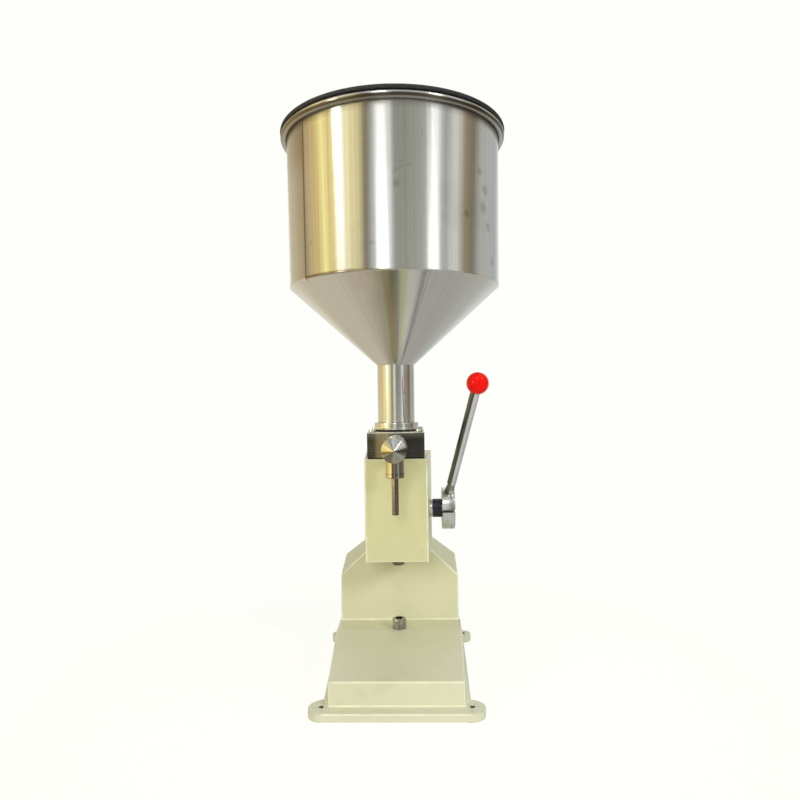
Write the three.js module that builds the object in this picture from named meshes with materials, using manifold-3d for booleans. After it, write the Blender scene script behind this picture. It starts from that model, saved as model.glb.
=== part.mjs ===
// Bench paste filling machine worked by a hand lever: hopper, valve block, gear housing and cast base.
// Millimetres, +Z up. X runs to the operator's right, Y away from the operator.
// The origin is on the bench, straight below the common axis of hopper, cylinder and piston rod.
import * as THREE from "three";
import { mergeVertices } from "three/addons/utils/BufferGeometryUtils.js";
import Module from "manifold-3d";

const wasm = await Module();
wasm.setup();

// Clearances shared by all pieces
const seat_gap = 0.3;
const running_gap = 0.3;
const cut_overrun = 2;

// Facets round a full turn, and steps round an arc
const fine_facets = 36;
const round_facets = 16;
const small_facets = 12;
const screw_facets = 8;
const hexagon_sides = 6;
const slab_end_steps = 6;

// Base casting: lower body, from its front face back to the rear
const body_front_y = -135;
const body_flare_y = -113;
const ledge_front_y = -7.4;
const column_front_y = 33;
const body_rear_y = 105;
const nose_drop = 14.8;
const ledge_height = 54;
const nose_half_width = 81.2;
const flare_foot_half_width = 90.6;
const flare_top_half_width = 82.2;
const ledge_foot_half_width = 89.5;
const ledge_top_half_width = 86.9;
const rear_foot_half_width = 86.5;
const rear_top_half_width = 84.8;
const casting_wall = 6;

// Base casting: column with its sloping shoulders
const column_foot_half_width = 85.3;
const shoulder_half_width = 84.6;
const front_shoulder_drop = 39.1;
const rear_shoulder_drop = 26.1;
const column_top_height = 158.1;
const front_top_half_width = 43.6;
const rear_top_edge_half_width = 49.9;

// Base casting: feet
const foot_thickness = 10;
const foot_step = 18.6;
const foot_end_radius = 17.8;
const foot_half_width = 105.2;
const foot_hole_radius = 3.3;
const foot_hole_inset = 15.5;
const ear_centre_y = 96;
const ear_end_radius = 13;
const ear_half_width = 106.5;
const ear_hole_inset = 11.5;

// Base casting: threaded boss for the stop screw
const stop_boss_radius = 12;
const stop_boss_foot = 10;

// Gear housing
const housing_front_y = -48;
const housing_rear_y = 88;
const housing_height = 136;
const housing_front_half_width = 42;
const housing_rear_half_width = 49.3;
const housing_edge_bevel = 1.4;
const housing_wall = 4.5;
const housing_floor = 7;
const housing_top_plate = 6.4;
const housing_rear_wall = 5;
const housing_window_lap = 12;
const housing_window_margin = 19.5;

// Rear cover of the gear housing
const cover_side_margin = 3.3;
const cover_margin = 4;
const cover_thickness = 3;
const cover_corner_radius = 5;
const cover_screw_radius = 2;
const cover_screw_length = 7;
const cover_screw_head_radius = 4;
const cover_screw_head_height = 2.4;
const cover_screw_inset = 6;

// Bolts that hold the housing on the column
const housing_bolt_radius = 4;
const housing_bolt_head_radius = 6.5;
const housing_bolt_head_height = 8;
const housing_bolt_length = 12.2;
const housing_bolt_x = 30;
const housing_bolt_front_y = 48;
const housing_bolt_rear_y = 76;

// Valve block
const block_half_width = 38.3;
const block_half_depth = 41;
const block_height = 34.8;
const block_edge_bevel = 0.8;
const chamber_radius = 15;
const chamber_roof = 1.6;
const inlet_bore_radius = 10;
const guide_recess_radius = 16;
const guide_recess_depth = 4;
const outlet_axis_drop = 18.5;
const outlet_bore_radius = 6;
const outlet_thread_radius = 11;
const outlet_thread_length = 9.5;

// Bolts through the valve block into the housing
const block_bolt_inset_x = 6.8;
const block_bolt_inset_y = 7;
const block_bolt_radius = 3;
const block_bolt_grip = 17.6;
const block_bolt_head_radius = 5.2;
const block_bolt_head_height = 3.3;
const block_bolt_socket_radius = 2.3;
const block_boss_radius = 7.5;
const block_boss_length = 16;

// Set screw that holds the rod bush from the housing's right flank
const set_screw_radius = 2.2;
const set_screw_length = 9;
const set_screw_inset = 0.6;
const set_screw_height = 3.9;
const set_screw_socket_radius = 1.2;
const set_screw_socket_depth = 2;

// Hopper: neck, cone and bowl, each rolled from sheet
const neck_radius = 25.6;
const neck_length = 88.6;
const cone_height = 105.7;
const bowl_height = 201.2;
const bowl_top_radius = 145;
const bowl_taper = 1.8;
const hopper_wall = 1.5;
const rim_bead_radius = 4.6;
const rim_bead_offset = 3.6;
const rim_bead_sweep = 120;
const rim_bead_steps = 4;
const hopper_collar_radius = 30.7;
const hopper_collar_height = 9.3;
const hopper_collar_bevel = 0.8;
const hopper_gasket_inset = 0.9;
const hopper_gasket_thickness = 1.9;

// Lid with its black edging and its knob
const lid_overhang = 2.4;
const lid_edging_radius = 2.6;
const lid_edging_lap = 4.2;
const lid_edging_sweep = 90;
const lid_edging_steps = 3;
const lid_sheet = 1.2;
const lid_lip_clearance = 2.7;
const lid_slope_run = 6.8;
const lid_crown_run = 36;
const lid_slope_rise = 1.4;
const lid_crown_rise = 5.4;
const lid_centre_rise = 7.2;
const lid_lip_depth = 10;
const lid_hole_radius = 3.3;
const knob_foot_radius = 11;
const knob_waist_radius = 8.5;
const knob_radius = 17;
const knob_height = 36;
const lid_screw_radius = 3;
const lid_screw_length = 20;
const lid_screw_head_radius = 6;
const lid_screw_head_height = 2.8;

// Cylinder and piston
const cylinder_bore_radius = 20;
const cylinder_wall = 3;
const cylinder_skirt = 48.6;
const cylinder_flange_width = 4;
const cylinder_flange_thickness = 3.6;
const piston_clearance = 0.4;
const piston_length = 12;
const piston_top_drop = 12.9;
const piston_ring_section_radius = 1;
const piston_ring_spacing = 4.6;
const piston_ring_inset = 3.2;
const rod_radius = 8.5;
const rod_foot_drop = 15.4;
const rod_foot_bevel = 1.2;
const rod_spigot_radius = 5;
const rod_spigot_length = 8.5;

// Rack and pinion
const gear_module = 2;
const pinion_teeth = 16;
const pinion_width = 24;
const pressure_angle = 20;
const tooth_backlash = 0.5;
const root_clearance_share = 0.25;
const rack_pitch_line_offset = 5;
const rack_teeth_below = 5;
const rack_teeth_above = 6;
const rack_runout = 3.6;

// Drive shaft, across the housing in front of the rod
const shaft_rise = 66.6;
const shaft_radius = 9;
const shaft_end_radius = 7;
const shaft_left_inset = 1.1;
const shaft_end_inset = 0.8;
const key_width = 5;
const key_half_length = 9;
const key_sink = 3.2;
const key_stand = 2.3;
const circlip_width = 3.2;
const circlip_thickness = 1.2;
const circlip_groove_depth = 0.7;
const circlip_opening = 40;

// Bushes of the drive shaft and their seats in the housing
const right_bush_length = 14.5;
const right_bush_wall = 1.7;
const right_bush_flange_width = 0.9;
const right_bush_flange_thickness = 3.2;
const right_spot_face_height = 1.15;
const left_bush_wall = 2.7;
const left_bush_flange_width = 2;
const left_bush_flange_thickness = 2;
const left_seat_depth = 8.7;
const bush_seat_wall = 3.5;
const rod_bush_wall = 3.2;
const rod_bush_flange_width = 4;
const rod_bush_flange_thickness = 3;
const rod_bush_neck = 7.3;

// Lever
const shaft_collar_wall = 3.1;
const shaft_collar_length = 11.9;
const hub_radius = 28;
const hub_width = 17;
const hub_edge_bevel = 0.9;
const hub_slit = 3.3;
const hub_screw_radius = 2.5;
const hub_screw_inset = 12.5;
const hub_screw_length = 19;
const hub_screw_head_radius = 4.25;
const hub_screw_head_height = 5;
const hub_screw_head_depth = 13;
const lever_lean = 32;
const lever_outward_share = 0.1853;
const lever_foot_inset = 4;
const lever_radius = 6;
const lever_socket_start = 14;
const lever_flat_start = 35;
const lever_flat_length = 9.5;
const lever_flat_half_width = 4.9;
const ball_radius = 13.4;
const ball_centre_distance = 196.4;
const ball_neck_radius = 7.4;
const ball_spigot_radius = 4;
const ball_spigot_length = 11;

// Stop screw on the ledge
const stop_radius = 6;
const stop_length = 48;
const stop_head_radius = 9.7;
const stop_head_height = 13.7;
const stop_head_bevel = 1.3;
const stop_socket_radius = 5.8;
const stop_socket_depth = 7;

// Inlet valve
const inlet_disc_clearance = 1.6;
const inlet_disc_thickness = 4.1;
const inlet_stem_radius = 3;
const inlet_stem_end = 1;
const guide_disc_thickness = 3.4;
const guide_window_radius = 3.7;
const guide_window_circle_radius = 9.8;
const guide_windows = 4;
const inlet_spring_circle_radius = 5.4;
const inlet_spring_wire_radius = 0.7;
const inlet_spring_length = 14.5;
const inlet_spring_turns = 5;
const inlet_nut_radius = 7;
const inlet_nut_height = 4;

// Outlet: body, valve, cap and nozzle
const outlet_body_radius = 15.5;
const outlet_body_length = 57.1;
const outlet_seat_depth = 9.1;
const outlet_chamber_radius = 10;
const outlet_gasket_inset = 0.5;
const outlet_gasket_thickness = 1.3;
const outlet_poppet_clearance = 1.4;
const outlet_poppet_thickness = 3.7;
const outlet_stem_radius = 3;
const outlet_stem_length = 16;
const outlet_spring_circle_radius = 6.2;
const outlet_spring_wire_radius = 0.8;
const outlet_spring_turns = 6;
const cap_overhang = 0.4;
const cap_rim = 11.7;
const cap_cone = 12;
const cap_plug_length = 4;
const nozzle_setback = 14;
const nozzle_body_radius = 11.8;
const nozzle_drop = 30;
const nozzle_spigot_radius = 5.1;
const nozzle_bore_radius = 3.4;
const nozzle_socket_wall = 2.5;
const nozzle_socket_depth = 8.6;
const nozzle_nut_overhang = 0.3;
const nozzle_nut_height = 5.9;
const nozzle_nut_thread_length = 6.3;
const tube_radius = 4.4;
const tube_wall = 1.2;
const tube_hang = 53;
const tube_flange_clearance = 0.7;
const tube_flange_thickness = 2;

// Places that follow from the sizes above: base and housing
const full_turn = 360;
const degree = (2 * Math.PI) / full_turn;
const nose_height = ledge_height - nose_drop;
const front_shoulder_height = column_top_height - front_shoulder_drop;
const rear_shoulder_height = column_top_height - rear_shoulder_drop;
const foot_front_y = body_front_y - foot_step;
const housing_foot_z = column_top_height + seat_gap;
const housing_top_z = housing_foot_z + housing_height;
const housing_floor_z = housing_foot_z + housing_floor;
const housing_ceiling_z = housing_top_z - housing_top_plate;
const housing_taper_share = (housing_rear_half_width - housing_front_half_width)
  / (housing_rear_y - housing_front_y);
const housingHalfWidth = (y) => housing_front_half_width + (y - housing_front_y) * housing_taper_share;
const cover_half_width = housing_rear_half_width - cover_side_margin;
const housing_window_half_width = cover_half_width - housing_window_lap;

// Places of the valve block, the cylinder and the piston
const block_foot_z = housing_top_z + seat_gap;
const block_top_z = block_foot_z + block_height;
const block_bolt_x = block_half_width - block_bolt_inset_x;
const block_bolt_y = block_half_depth - block_bolt_inset_y;
const block_bolt_length = block_height + 2 * seat_gap + block_bolt_grip;
const outlet_axis_height = block_top_z - outlet_axis_drop;
const recess_top_z = block_foot_z + cylinder_flange_thickness + seat_gap;
const chamber_top_z = outlet_axis_height + outlet_bore_radius + chamber_roof;
const cylinder_outer_radius = cylinder_bore_radius + cylinder_wall;
const cylinder_flange_radius = cylinder_outer_radius + cylinder_flange_width;
const piston_top_height = block_foot_z - piston_top_drop;
const piston_foot_z = piston_top_height - piston_length;
const rod_foot_height = housing_foot_z - rod_foot_drop;

// Places of the drive shaft, its bushes and the lever
const pitch_radius = (gear_module * pinion_teeth) / 2;
const shaft_y = -(rack_pitch_line_offset + pitch_radius);
const shaft_height = housing_foot_z + shaft_rise;
const tooth_pitch = Math.PI * gear_module;
const dedendum = gear_module * (1 + root_clearance_share);
const right_bush_radius = shaft_radius + running_gap + right_bush_wall;
const right_bush_flange_radius = right_bush_radius + right_bush_flange_width;
const right_seat_radius = right_bush_radius + bush_seat_wall;
const right_seat_x = housingHalfWidth(shaft_y) + right_spot_face_height;
const right_bush_outer_x = right_seat_x + seat_gap + right_bush_flange_thickness;
const right_bush_inner_x = right_bush_outer_x - right_bush_length;
const left_bush_radius = shaft_end_radius + running_gap + left_bush_wall;
const left_bush_flange_radius = left_bush_radius + left_bush_flange_width;
const left_seat_radius = left_bush_radius + bush_seat_wall;
const left_seat_x = left_seat_depth - housing_front_half_width;
const left_bush_outer_x = left_seat_x + seat_gap + left_bush_flange_thickness;
const shaft_left_x = shaft_left_inset - housing_front_half_width;
const shaft_step_x = left_bush_outer_x + seat_gap;
const rod_bush_radius = rod_radius + running_gap + rod_bush_wall;
const rod_bush_flange_radius = rod_bush_radius + rod_bush_flange_width;
const hub_inner_x = right_bush_outer_x + seat_gap + shaft_collar_length + seat_gap;
const hub_outer_x = hub_inner_x + hub_width;
const hub_centre_x = (hub_inner_x + hub_outer_x) / 2;
const lever_foot_x = hub_centre_x - lever_foot_inset;

// Places of the hopper and the lid
const hopper_foot_z = block_top_z + seat_gap + hopper_gasket_thickness + seat_gap;
const cone_foot_z = hopper_foot_z + neck_length;
const cone_top_z = cone_foot_z + cone_height;
const rim_bead_z = cone_top_z + bowl_height;
const neck_bore_radius = neck_radius - hopper_wall;
const bowl_foot_radius = bowl_top_radius - bowl_taper;
const bowl_foot_bore_radius = bowl_foot_radius - hopper_wall;
const bowl_top_bore_radius = bowl_top_radius - hopper_wall;
const rim_bead_circle_radius = bowl_top_radius + rim_bead_offset;
const lid_seat_z = rim_bead_z + rim_bead_radius + seat_gap;
const lid_edge_circle_radius = rim_bead_circle_radius + lid_overhang;

// Places of the outlet and the nozzle
const outlet_gasket_rear_y = -block_half_depth - seat_gap;
const outlet_gasket_front_y = outlet_gasket_rear_y - outlet_gasket_thickness;
const outlet_body_rear_y = outlet_gasket_front_y - seat_gap;
const outlet_body_front_y = outlet_body_rear_y - outlet_body_length;
const outlet_seat_y = outlet_body_rear_y - outlet_seat_depth;
const nozzle_y = outlet_body_front_y + nozzle_setback;
const nozzle_foot_z = outlet_axis_height - nozzle_drop;
const nozzle_socket_radius = nozzle_body_radius - nozzle_socket_wall;

// Solids: a closed geometry goes in, joins and cuts are made, and a geometry comes back
function solid(geometry) {
  const bare = geometry.clone();
  bare.deleteAttribute("normal");
  bare.deleteAttribute("uv");
  const merged = mergeVertices(bare, 1e-4);
  const mesh = new wasm.Mesh({
    numProp: 3,
    vertProperties: new Float32Array(merged.attributes.position.array),
    triVerts: new Uint32Array(merged.index.array),
  });
  return new wasm.Manifold(mesh);
}

function geometryOf(made) {
  const mesh = made.getMesh();
  const geometry = new THREE.BufferGeometry();
  geometry.setAttribute("position", new THREE.BufferAttribute(new Float32Array(mesh.vertProperties), 3));
  geometry.setIndex(new THREE.BufferAttribute(new Uint32Array(mesh.triVerts), 1));
  const flat = geometry.toNonIndexed();
  flat.computeVertexNormals();
  return flat;
}

const join = (first, ...others) => others.reduce((sum, next) => sum.add(next), first);
const cut = (first, ...others) => others.reduce((rest, next) => rest.subtract(next), first);

// A revolved profile of [radius, height] points about +Z, closed on the axis or on itself
function revolve(points, facets) {
  const profile = points.map(([radius, height]) => new THREE.Vector2(radius, height));
  const geometry = new THREE.LatheGeometry(profile, facets);
  geometry.rotateX(Math.PI / 2);
  return geometry;
}

// Discs and rings along Z; the profile runs so that the faces point outwards
function rod(radius, low, high, facets = round_facets) {
  return solid(revolve([[0, low], [radius, low], [radius, high], [0, high]], facets));
}

function ring(inner, outer, low, high, facets = round_facets) {
  return solid(revolve([[inner, low], [outer, low], [outer, high], [inner, high], [inner, low]], facets));
}

// The same solid laid along X or along Y, pointing the positive way, or moved
const alongX = (made) => made.rotate([0, 90, 0]);
const alongY = (made) => made.rotate([-90, 0, 0]);
const at = (made, x, y, z) => made.translate([x, y, z]);
const onShaft = (made) => at(made, 0, shaft_y, shaft_height);

// An outline in X and Y, raised from one height to another
function raise(outline, low, high) {
  const shape = new THREE.Shape(outline.map(([x, y]) => new THREE.Vector2(x, y)));
  const geometry = new THREE.ExtrudeGeometry(shape, { depth: high - low, bevelEnabled: false });
  geometry.translate(0, 0, low);
  return solid(geometry);
}

// A slab with round ends along X
function stadium(half_width, radius, centre_y, low, high) {
  const shape = new THREE.Shape();
  shape.absarc(half_width - radius, centre_y, radius, -Math.PI / 2, Math.PI / 2, false);
  shape.absarc(radius - half_width, centre_y, radius, Math.PI / 2, Math.PI * 1.5, false);
  const geometry = new THREE.ExtrudeGeometry(shape, {
    depth: high - low,
    bevelEnabled: false,
    curveSegments: slab_end_steps,
  });
  geometry.translate(0, 0, low);
  return solid(geometry);
}

// A box with its edges round the top and the foot bevelled
function bevelledBox(half_x, half_y, low, high, bevel) {
  const corners = [[-half_x, -half_y], [half_x, -half_y], [half_x, half_y], [-half_x, half_y]];
  const shape = new THREE.Shape(corners.map(([x, y]) => new THREE.Vector2(x, y)));
  const geometry = new THREE.ExtrudeGeometry(shape, {
    depth: high - low - 2 * bevel,
    bevelThickness: bevel,
    bevelSize: bevel,
    bevelOffset: -bevel,
    bevelSegments: 1,
  });
  geometry.translate(0, 0, low + bevel);
  return solid(geometry);
}

// A body through several sections, each a ring of points in X and Z at its own Y
function loft(sections) {
  const count = sections[0].points.length;
  const positions = sections.flatMap(({ y, points }) => points.flatMap(([x, z]) => [x, y, z]));
  const faces = [];
  for (let row = 0; row + 1 < sections.length; row += 1) {
    for (let i = 0; i < count; i += 1) {
      const next = (i + 1) % count;
      const a = row * count + i;
      const b = row * count + next;
      faces.push(a, b, b + count, a, b + count, a + count);
    }
  }
  const last = (sections.length - 1) * count;
  for (let i = 1; i + 1 < count; i += 1) {
    faces.push(0, i + 1, i);
    faces.push(last, last + i, last + i + 1);
  }
  const geometry = new THREE.BufferGeometry();
  geometry.setAttribute("position", new THREE.BufferAttribute(new Float32Array(positions), 3));
  geometry.setIndex(faces);
  const made = solid(geometry);
  if (made.volume() >= 0) return made;
  for (let i = 0; i < faces.length; i += 3) [faces[i + 1], faces[i + 2]] = [faces[i + 2], faces[i + 1]];
  geometry.setIndex(faces);
  return solid(geometry);
}

// A round wire wound into a helix about +Z, eight steps a turn and five sides
const steps_per_turn = 8;
const wire_sides = 5;
function helix(circle_radius, wire_radius, low, high, turns) {
  const steps = turns * steps_per_turn;
  const first = low + wire_radius;
  const rise = high - low - 2 * wire_radius;
  const points = [];
  for (let i = 0; i <= steps; i += 1) {
    const angle = (i / steps_per_turn) * 2 * Math.PI;
    const height = first + (rise * i) / steps;
    const turn = new THREE.Vector2(Math.cos(angle), Math.sin(angle)).multiplyScalar(circle_radius);
    points.push(new THREE.Vector3(turn.x, turn.y, height));
  }
  const wire = new THREE.Shape(Array.from({ length: wire_sides }, (_, i) => {
    const angle = (i / wire_sides) * 2 * Math.PI;
    return new THREE.Vector2(wire_radius * Math.cos(angle), wire_radius * Math.sin(angle));
  }));
  const path = new THREE.CatmullRomCurve3(points);
  return solid(new THREE.ExtrudeGeometry(wire, { steps, bevelEnabled: false, extrudePath: path }));
}

// Screw with a round head below z = 0 pointing up: shank above, head below
function bolt(radius, length, head_radius, head_height) {
  const shank = rod(radius, -head_height / 2, length, screw_facets);
  return join(shank, rod(head_radius, -head_height, 0, screw_facets));
}

const part = new THREE.Group();

function piece(name, made, colour, roughness, metalness) {
  const material = new THREE.MeshStandardMaterial({ color: colour, roughness, metalness });
  const mesh = new THREE.Mesh(geometryOf(made), material);
  mesh.name = name;
  part.add(mesh);
}

const cream = [0xd6d2a8, 0.42, 0];
const steel = [0xc4c4c2, 0.32, 1];
const bright = [0xd8d8d6, 0.16, 1];
const dark_steel = [0x75706a, 0.28, 1];
const bronze = [0xa98a52, 0.4, 1];
const black = [0x16181c, 0.5, 0];
const navy = [0x0c1626, 0.35, 0];
const red = [0xe60a05, 0.12, 0];

// Base casting: one hollow shell with a low sloping front, a ledge, and a column with 45 degree shoulders
function lowerSections(inset) {
  const rise_share = (body_flare_y - body_front_y) / (ledge_front_y - body_front_y);
  const flare_height = nose_height + rise_share * (ledge_height - nose_height);
  const rows = [
    [body_front_y + inset, nose_half_width, nose_half_width, nose_height],
    [body_flare_y + inset, flare_foot_half_width, flare_top_half_width, flare_height],
    [ledge_front_y, ledge_foot_half_width, ledge_top_half_width, ledge_height],
    [body_rear_y - inset, rear_foot_half_width, rear_top_half_width, ledge_height],
  ];
  const foot = inset > 0 ? -cut_overrun : 0;
  return rows.map(([y, foot_half, top_half, height]) => ({
    y,
    points: [[inset - foot_half, foot], [foot_half - inset, foot],
      [top_half - inset, height - inset], [inset - top_half, height - inset]],
  }));
}

function columnSections(inset) {
  const foot = inset > 0 ? inset : ledge_height / 2;
  const top = column_top_height - inset;
  const section = (y, foot_half, shoulder, top_half) => ({
    y,
    points: [[inset - foot_half, foot], [foot_half - inset, foot], [shoulder_half_width - inset, shoulder],
      [top_half - inset, top], [inset - top_half, top], [inset - shoulder_half_width, shoulder]],
  });
  return [
    section(column_front_y + inset, column_foot_half_width, front_shoulder_height, front_top_half_width),
    section(body_rear_y - inset, rear_top_half_width, rear_shoulder_height, rear_top_edge_half_width),
  ];
}

const stop_bore_radius = stop_radius + running_gap;
const foot_centre_y = foot_front_y + foot_end_radius;
const foot_hole_x = foot_half_width - foot_hole_inset;
const ear_hole_x = ear_half_width - ear_hole_inset;
const housing_bolt_places = [
  [-housing_bolt_x, housing_bolt_front_y], [housing_bolt_x, housing_bolt_front_y],
  [-housing_bolt_x, housing_bolt_rear_y], [housing_bolt_x, housing_bolt_rear_y],
];
const foot_hole = rod(foot_hole_radius, -cut_overrun, foot_thickness + cut_overrun, screw_facets);
const housing_bolt_hole = rod(housing_bolt_radius + running_gap,
  column_top_height - casting_wall - cut_overrun, column_top_height + cut_overrun, screw_facets);
const casting_shell = cut(
  join(loft(lowerSections(0)), loft(columnSections(0))),
  loft(lowerSections(casting_wall)),
  loft(columnSections(casting_wall)),
);
const ear_inner_x = rear_foot_half_width - casting_wall;
const ear_hollow_y = body_rear_y - casting_wall;
const ear_hollow = raise([
  [-ear_inner_x, 0], [ear_inner_x, 0], [ear_inner_x, ear_hollow_y], [-ear_inner_x, ear_hollow_y],
], -cut_overrun, foot_thickness + cut_overrun);
const casting_feet = join(
  stadium(foot_half_width, foot_end_radius, foot_centre_y, 0, foot_thickness),
  cut(stadium(ear_half_width, ear_end_radius, ear_centre_y, 0, foot_thickness), ear_hollow),
);
const stop_boss = rod(stop_boss_radius, stop_boss_foot, ledge_height - casting_wall / 2);
const base_casting = cut(
  join(casting_shell, casting_feet, stop_boss),
  rod(stop_bore_radius, stop_boss_foot - cut_overrun, ledge_height + cut_overrun, small_facets),
  ...[-foot_hole_x, foot_hole_x].map((x) => at(foot_hole, x, foot_centre_y, 0)),
  ...[-ear_hole_x, ear_hole_x].map((x) => at(foot_hole, x, ear_centre_y, 0)),
  ...housing_bolt_places.map(([x, y]) => at(housing_bolt_hole, x, y, 0)),
);
piece("base_casting", base_casting, ...cream);

// Gear housing: a tapered box, narrower at the front, open at the back behind its cover
function housingOutline(inset, bevel) {
  const front = housing_front_y + inset;
  const rear = housing_rear_y - (inset > 0 ? housing_rear_wall : 0);
  const half_front = housingHalfWidth(front) - inset;
  const half_rear = housingHalfWidth(rear) - inset;
  return [
    [bevel - half_front, front], [half_front - bevel, front], [half_front, front + bevel],
    [half_rear, rear - bevel], [half_rear - bevel, rear], [bevel - half_rear, rear],
    [-half_rear, rear - bevel], [-half_front, front + bevel],
  ];
}

const seat_sink_x = housing_front_half_width - housing_wall / 2;
const cover_screw_x = cover_half_width - cover_screw_inset;
const cover_low_z = housing_foot_z + cover_margin;
const cover_high_z = housing_top_z - cover_margin;
const cover_screw_places = [
  [-cover_screw_x, cover_low_z + cover_screw_inset], [cover_screw_x, cover_low_z + cover_screw_inset],
  [-cover_screw_x, cover_high_z - cover_screw_inset], [cover_screw_x, cover_high_z - cover_screw_inset],
];
const block_bolt_places = [
  [-block_bolt_x, -block_bolt_y], [block_bolt_x, -block_bolt_y],
  [-block_bolt_x, block_bolt_y], [block_bolt_x, block_bolt_y],
];
const flank_x = housingHalfWidth(0);
const housing_shell = cut(
  raise(housingOutline(0, housing_edge_bevel), housing_foot_z, housing_top_z),
  raise(housingOutline(housing_wall, 0), housing_floor_z, housing_ceiling_z),
);
const window_inner_y = housing_rear_y - housing_rear_wall - cut_overrun;
const window_outer_y = housing_rear_y + cut_overrun;
const housing_window = raise([
  [-housing_window_half_width, window_inner_y], [housing_window_half_width, window_inner_y],
  [housing_window_half_width, window_outer_y], [-housing_window_half_width, window_outer_y],
], housing_foot_z + housing_window_margin, housing_top_z - housing_window_margin);

// Inner seats for the bushes and bosses for the block's bolts
const seat_inner_x = right_bush_inner_x + seat_gap;
const right_seat = onShaft(alongX(rod(right_seat_radius, seat_inner_x, seat_sink_x)));
const right_spot_face = onShaft(alongX(rod(right_bush_flange_radius, seat_inner_x, right_seat_x)));
const left_seat = onShaft(alongX(rod(left_seat_radius, -seat_sink_x, left_seat_x)));
const boss_room = raise(housingOutline(housing_wall / 2, 0), housing_foot_z, housing_top_z);
const block_boss = rod(block_boss_radius, housing_ceiling_z - block_boss_length,
  housing_ceiling_z + housing_top_plate / 2, small_facets);
const block_bosses = block_bolt_places.map(([x, y]) => at(block_boss, x, y, 0).intersect(boss_room));

// Holes through the housing's walls
const set_screw_z = housing_foot_z + set_screw_height;
const set_screw_hole = alongX(rod(set_screw_radius + seat_gap,
  flank_x - set_screw_length - 2 * set_screw_inset, flank_x + cut_overrun, screw_facets));
const right_bush_hole = alongX(rod(right_bush_radius + seat_gap,
  right_bush_inner_x - cut_overrun, right_bush_outer_x + cut_overrun));
const left_bush_hole = alongX(rod(left_bush_radius + seat_gap,
  shaft_left_x - seat_gap, left_seat_x + cut_overrun));
const block_bolt_thread = rod(block_bolt_radius + running_gap,
  block_top_z - block_bolt_length, housing_top_z + cut_overrun, screw_facets);
const housing_bolt_thread = rod(housing_bolt_radius + running_gap,
  housing_foot_z - cut_overrun, housing_floor_z + cut_overrun, screw_facets);
const cover_screw_thread = alongY(rod(cover_screw_radius + running_gap,
  window_inner_y, window_outer_y, screw_facets));
const housing = cut(
  join(housing_shell, right_seat, right_spot_face, left_seat, ...block_bosses),
  housing_window,
  at(set_screw_hole, 0, 0, set_screw_z),
  rod(cylinder_outer_radius + seat_gap, housing_ceiling_z - cut_overrun, housing_top_z + cut_overrun),
  rod(rod_bush_radius + seat_gap, housing_foot_z - cut_overrun, housing_floor_z + cut_overrun),
  onShaft(right_bush_hole),
  onShaft(left_bush_hole),
  ...block_bolt_places.map(([x, y]) => at(block_bolt_thread, x, y, 0)),
  ...housing_bolt_places.map(([x, y]) => at(housing_bolt_thread, x, y, 0)),
  ...cover_screw_places.map(([x, z]) => at(cover_screw_thread, x, 0, z)),
);
piece("gear_housing", housing, ...cream);

const set_screw_outer_x = flank_x - set_screw_inset;
const set_screw_socket = rod(set_screw_socket_radius, set_screw_outer_x - set_screw_socket_depth,
  set_screw_outer_x + cut_overrun, hexagon_sides);
const set_screw_body = rod(set_screw_radius,
  set_screw_outer_x - set_screw_length, set_screw_outer_x, screw_facets);
piece("guide_set_screw", at(alongX(cut(set_screw_body, set_screw_socket)), 0, 0, set_screw_z), ...steel);

// Rear cover with rounded corners, and its four screws
const corner_steps = 4;
function coverOutline() {
  const corner = (x, z, start) => Array.from({ length: corner_steps + 1 }, (_, i) => {
    const angle = start + (i / corner_steps) * (Math.PI / 2);
    return [x + cover_corner_radius * Math.cos(angle), z + cover_corner_radius * Math.sin(angle)];
  });
  const side = cover_half_width - cover_corner_radius;
  const low = cover_low_z + cover_corner_radius;
  const high = cover_high_z - cover_corner_radius;
  return [
    ...corner(side, high, 0), ...corner(-side, high, Math.PI / 2),
    ...corner(-side, low, Math.PI), ...corner(side, low, -Math.PI / 2),
  ];
}

const cover_inner_y = housing_rear_y + seat_gap;
const cover_outer_y = cover_inner_y + cover_thickness;
const cover_screw_hole = alongY(rod(cover_screw_radius + running_gap,
  cover_inner_y - cut_overrun, cover_outer_y + cut_overrun, screw_facets));
const rear_cover = cut(
  raise(coverOutline(), -cover_outer_y, -cover_inner_y).rotate([90, 0, 0]),
  ...cover_screw_places.map(([x, z]) => at(cover_screw_hole, x, 0, z)),
);
piece("housing_rear_cover", rear_cover, ...cream);
const cover_screw = bolt(cover_screw_radius, cover_screw_length,
  cover_screw_head_radius, cover_screw_head_height).rotate([90, 0, 0]);
cover_screw_places.forEach(([x, z], i) =>
  piece(`cover_screw_${i + 1}`, at(cover_screw, x, cover_outer_y + seat_gap, z), ...steel));

// Bolts up from inside the column into the housing floor
const housing_bolt = bolt(housing_bolt_radius, housing_bolt_length,
  housing_bolt_head_radius, housing_bolt_head_height);
const column_ceiling_z = column_top_height - casting_wall;
housing_bolt_places.forEach(([x, y], i) =>
  piece(`housing_bolt_${i + 1}`, at(housing_bolt, x, y, column_ceiling_z - seat_gap), ...steel));

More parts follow.
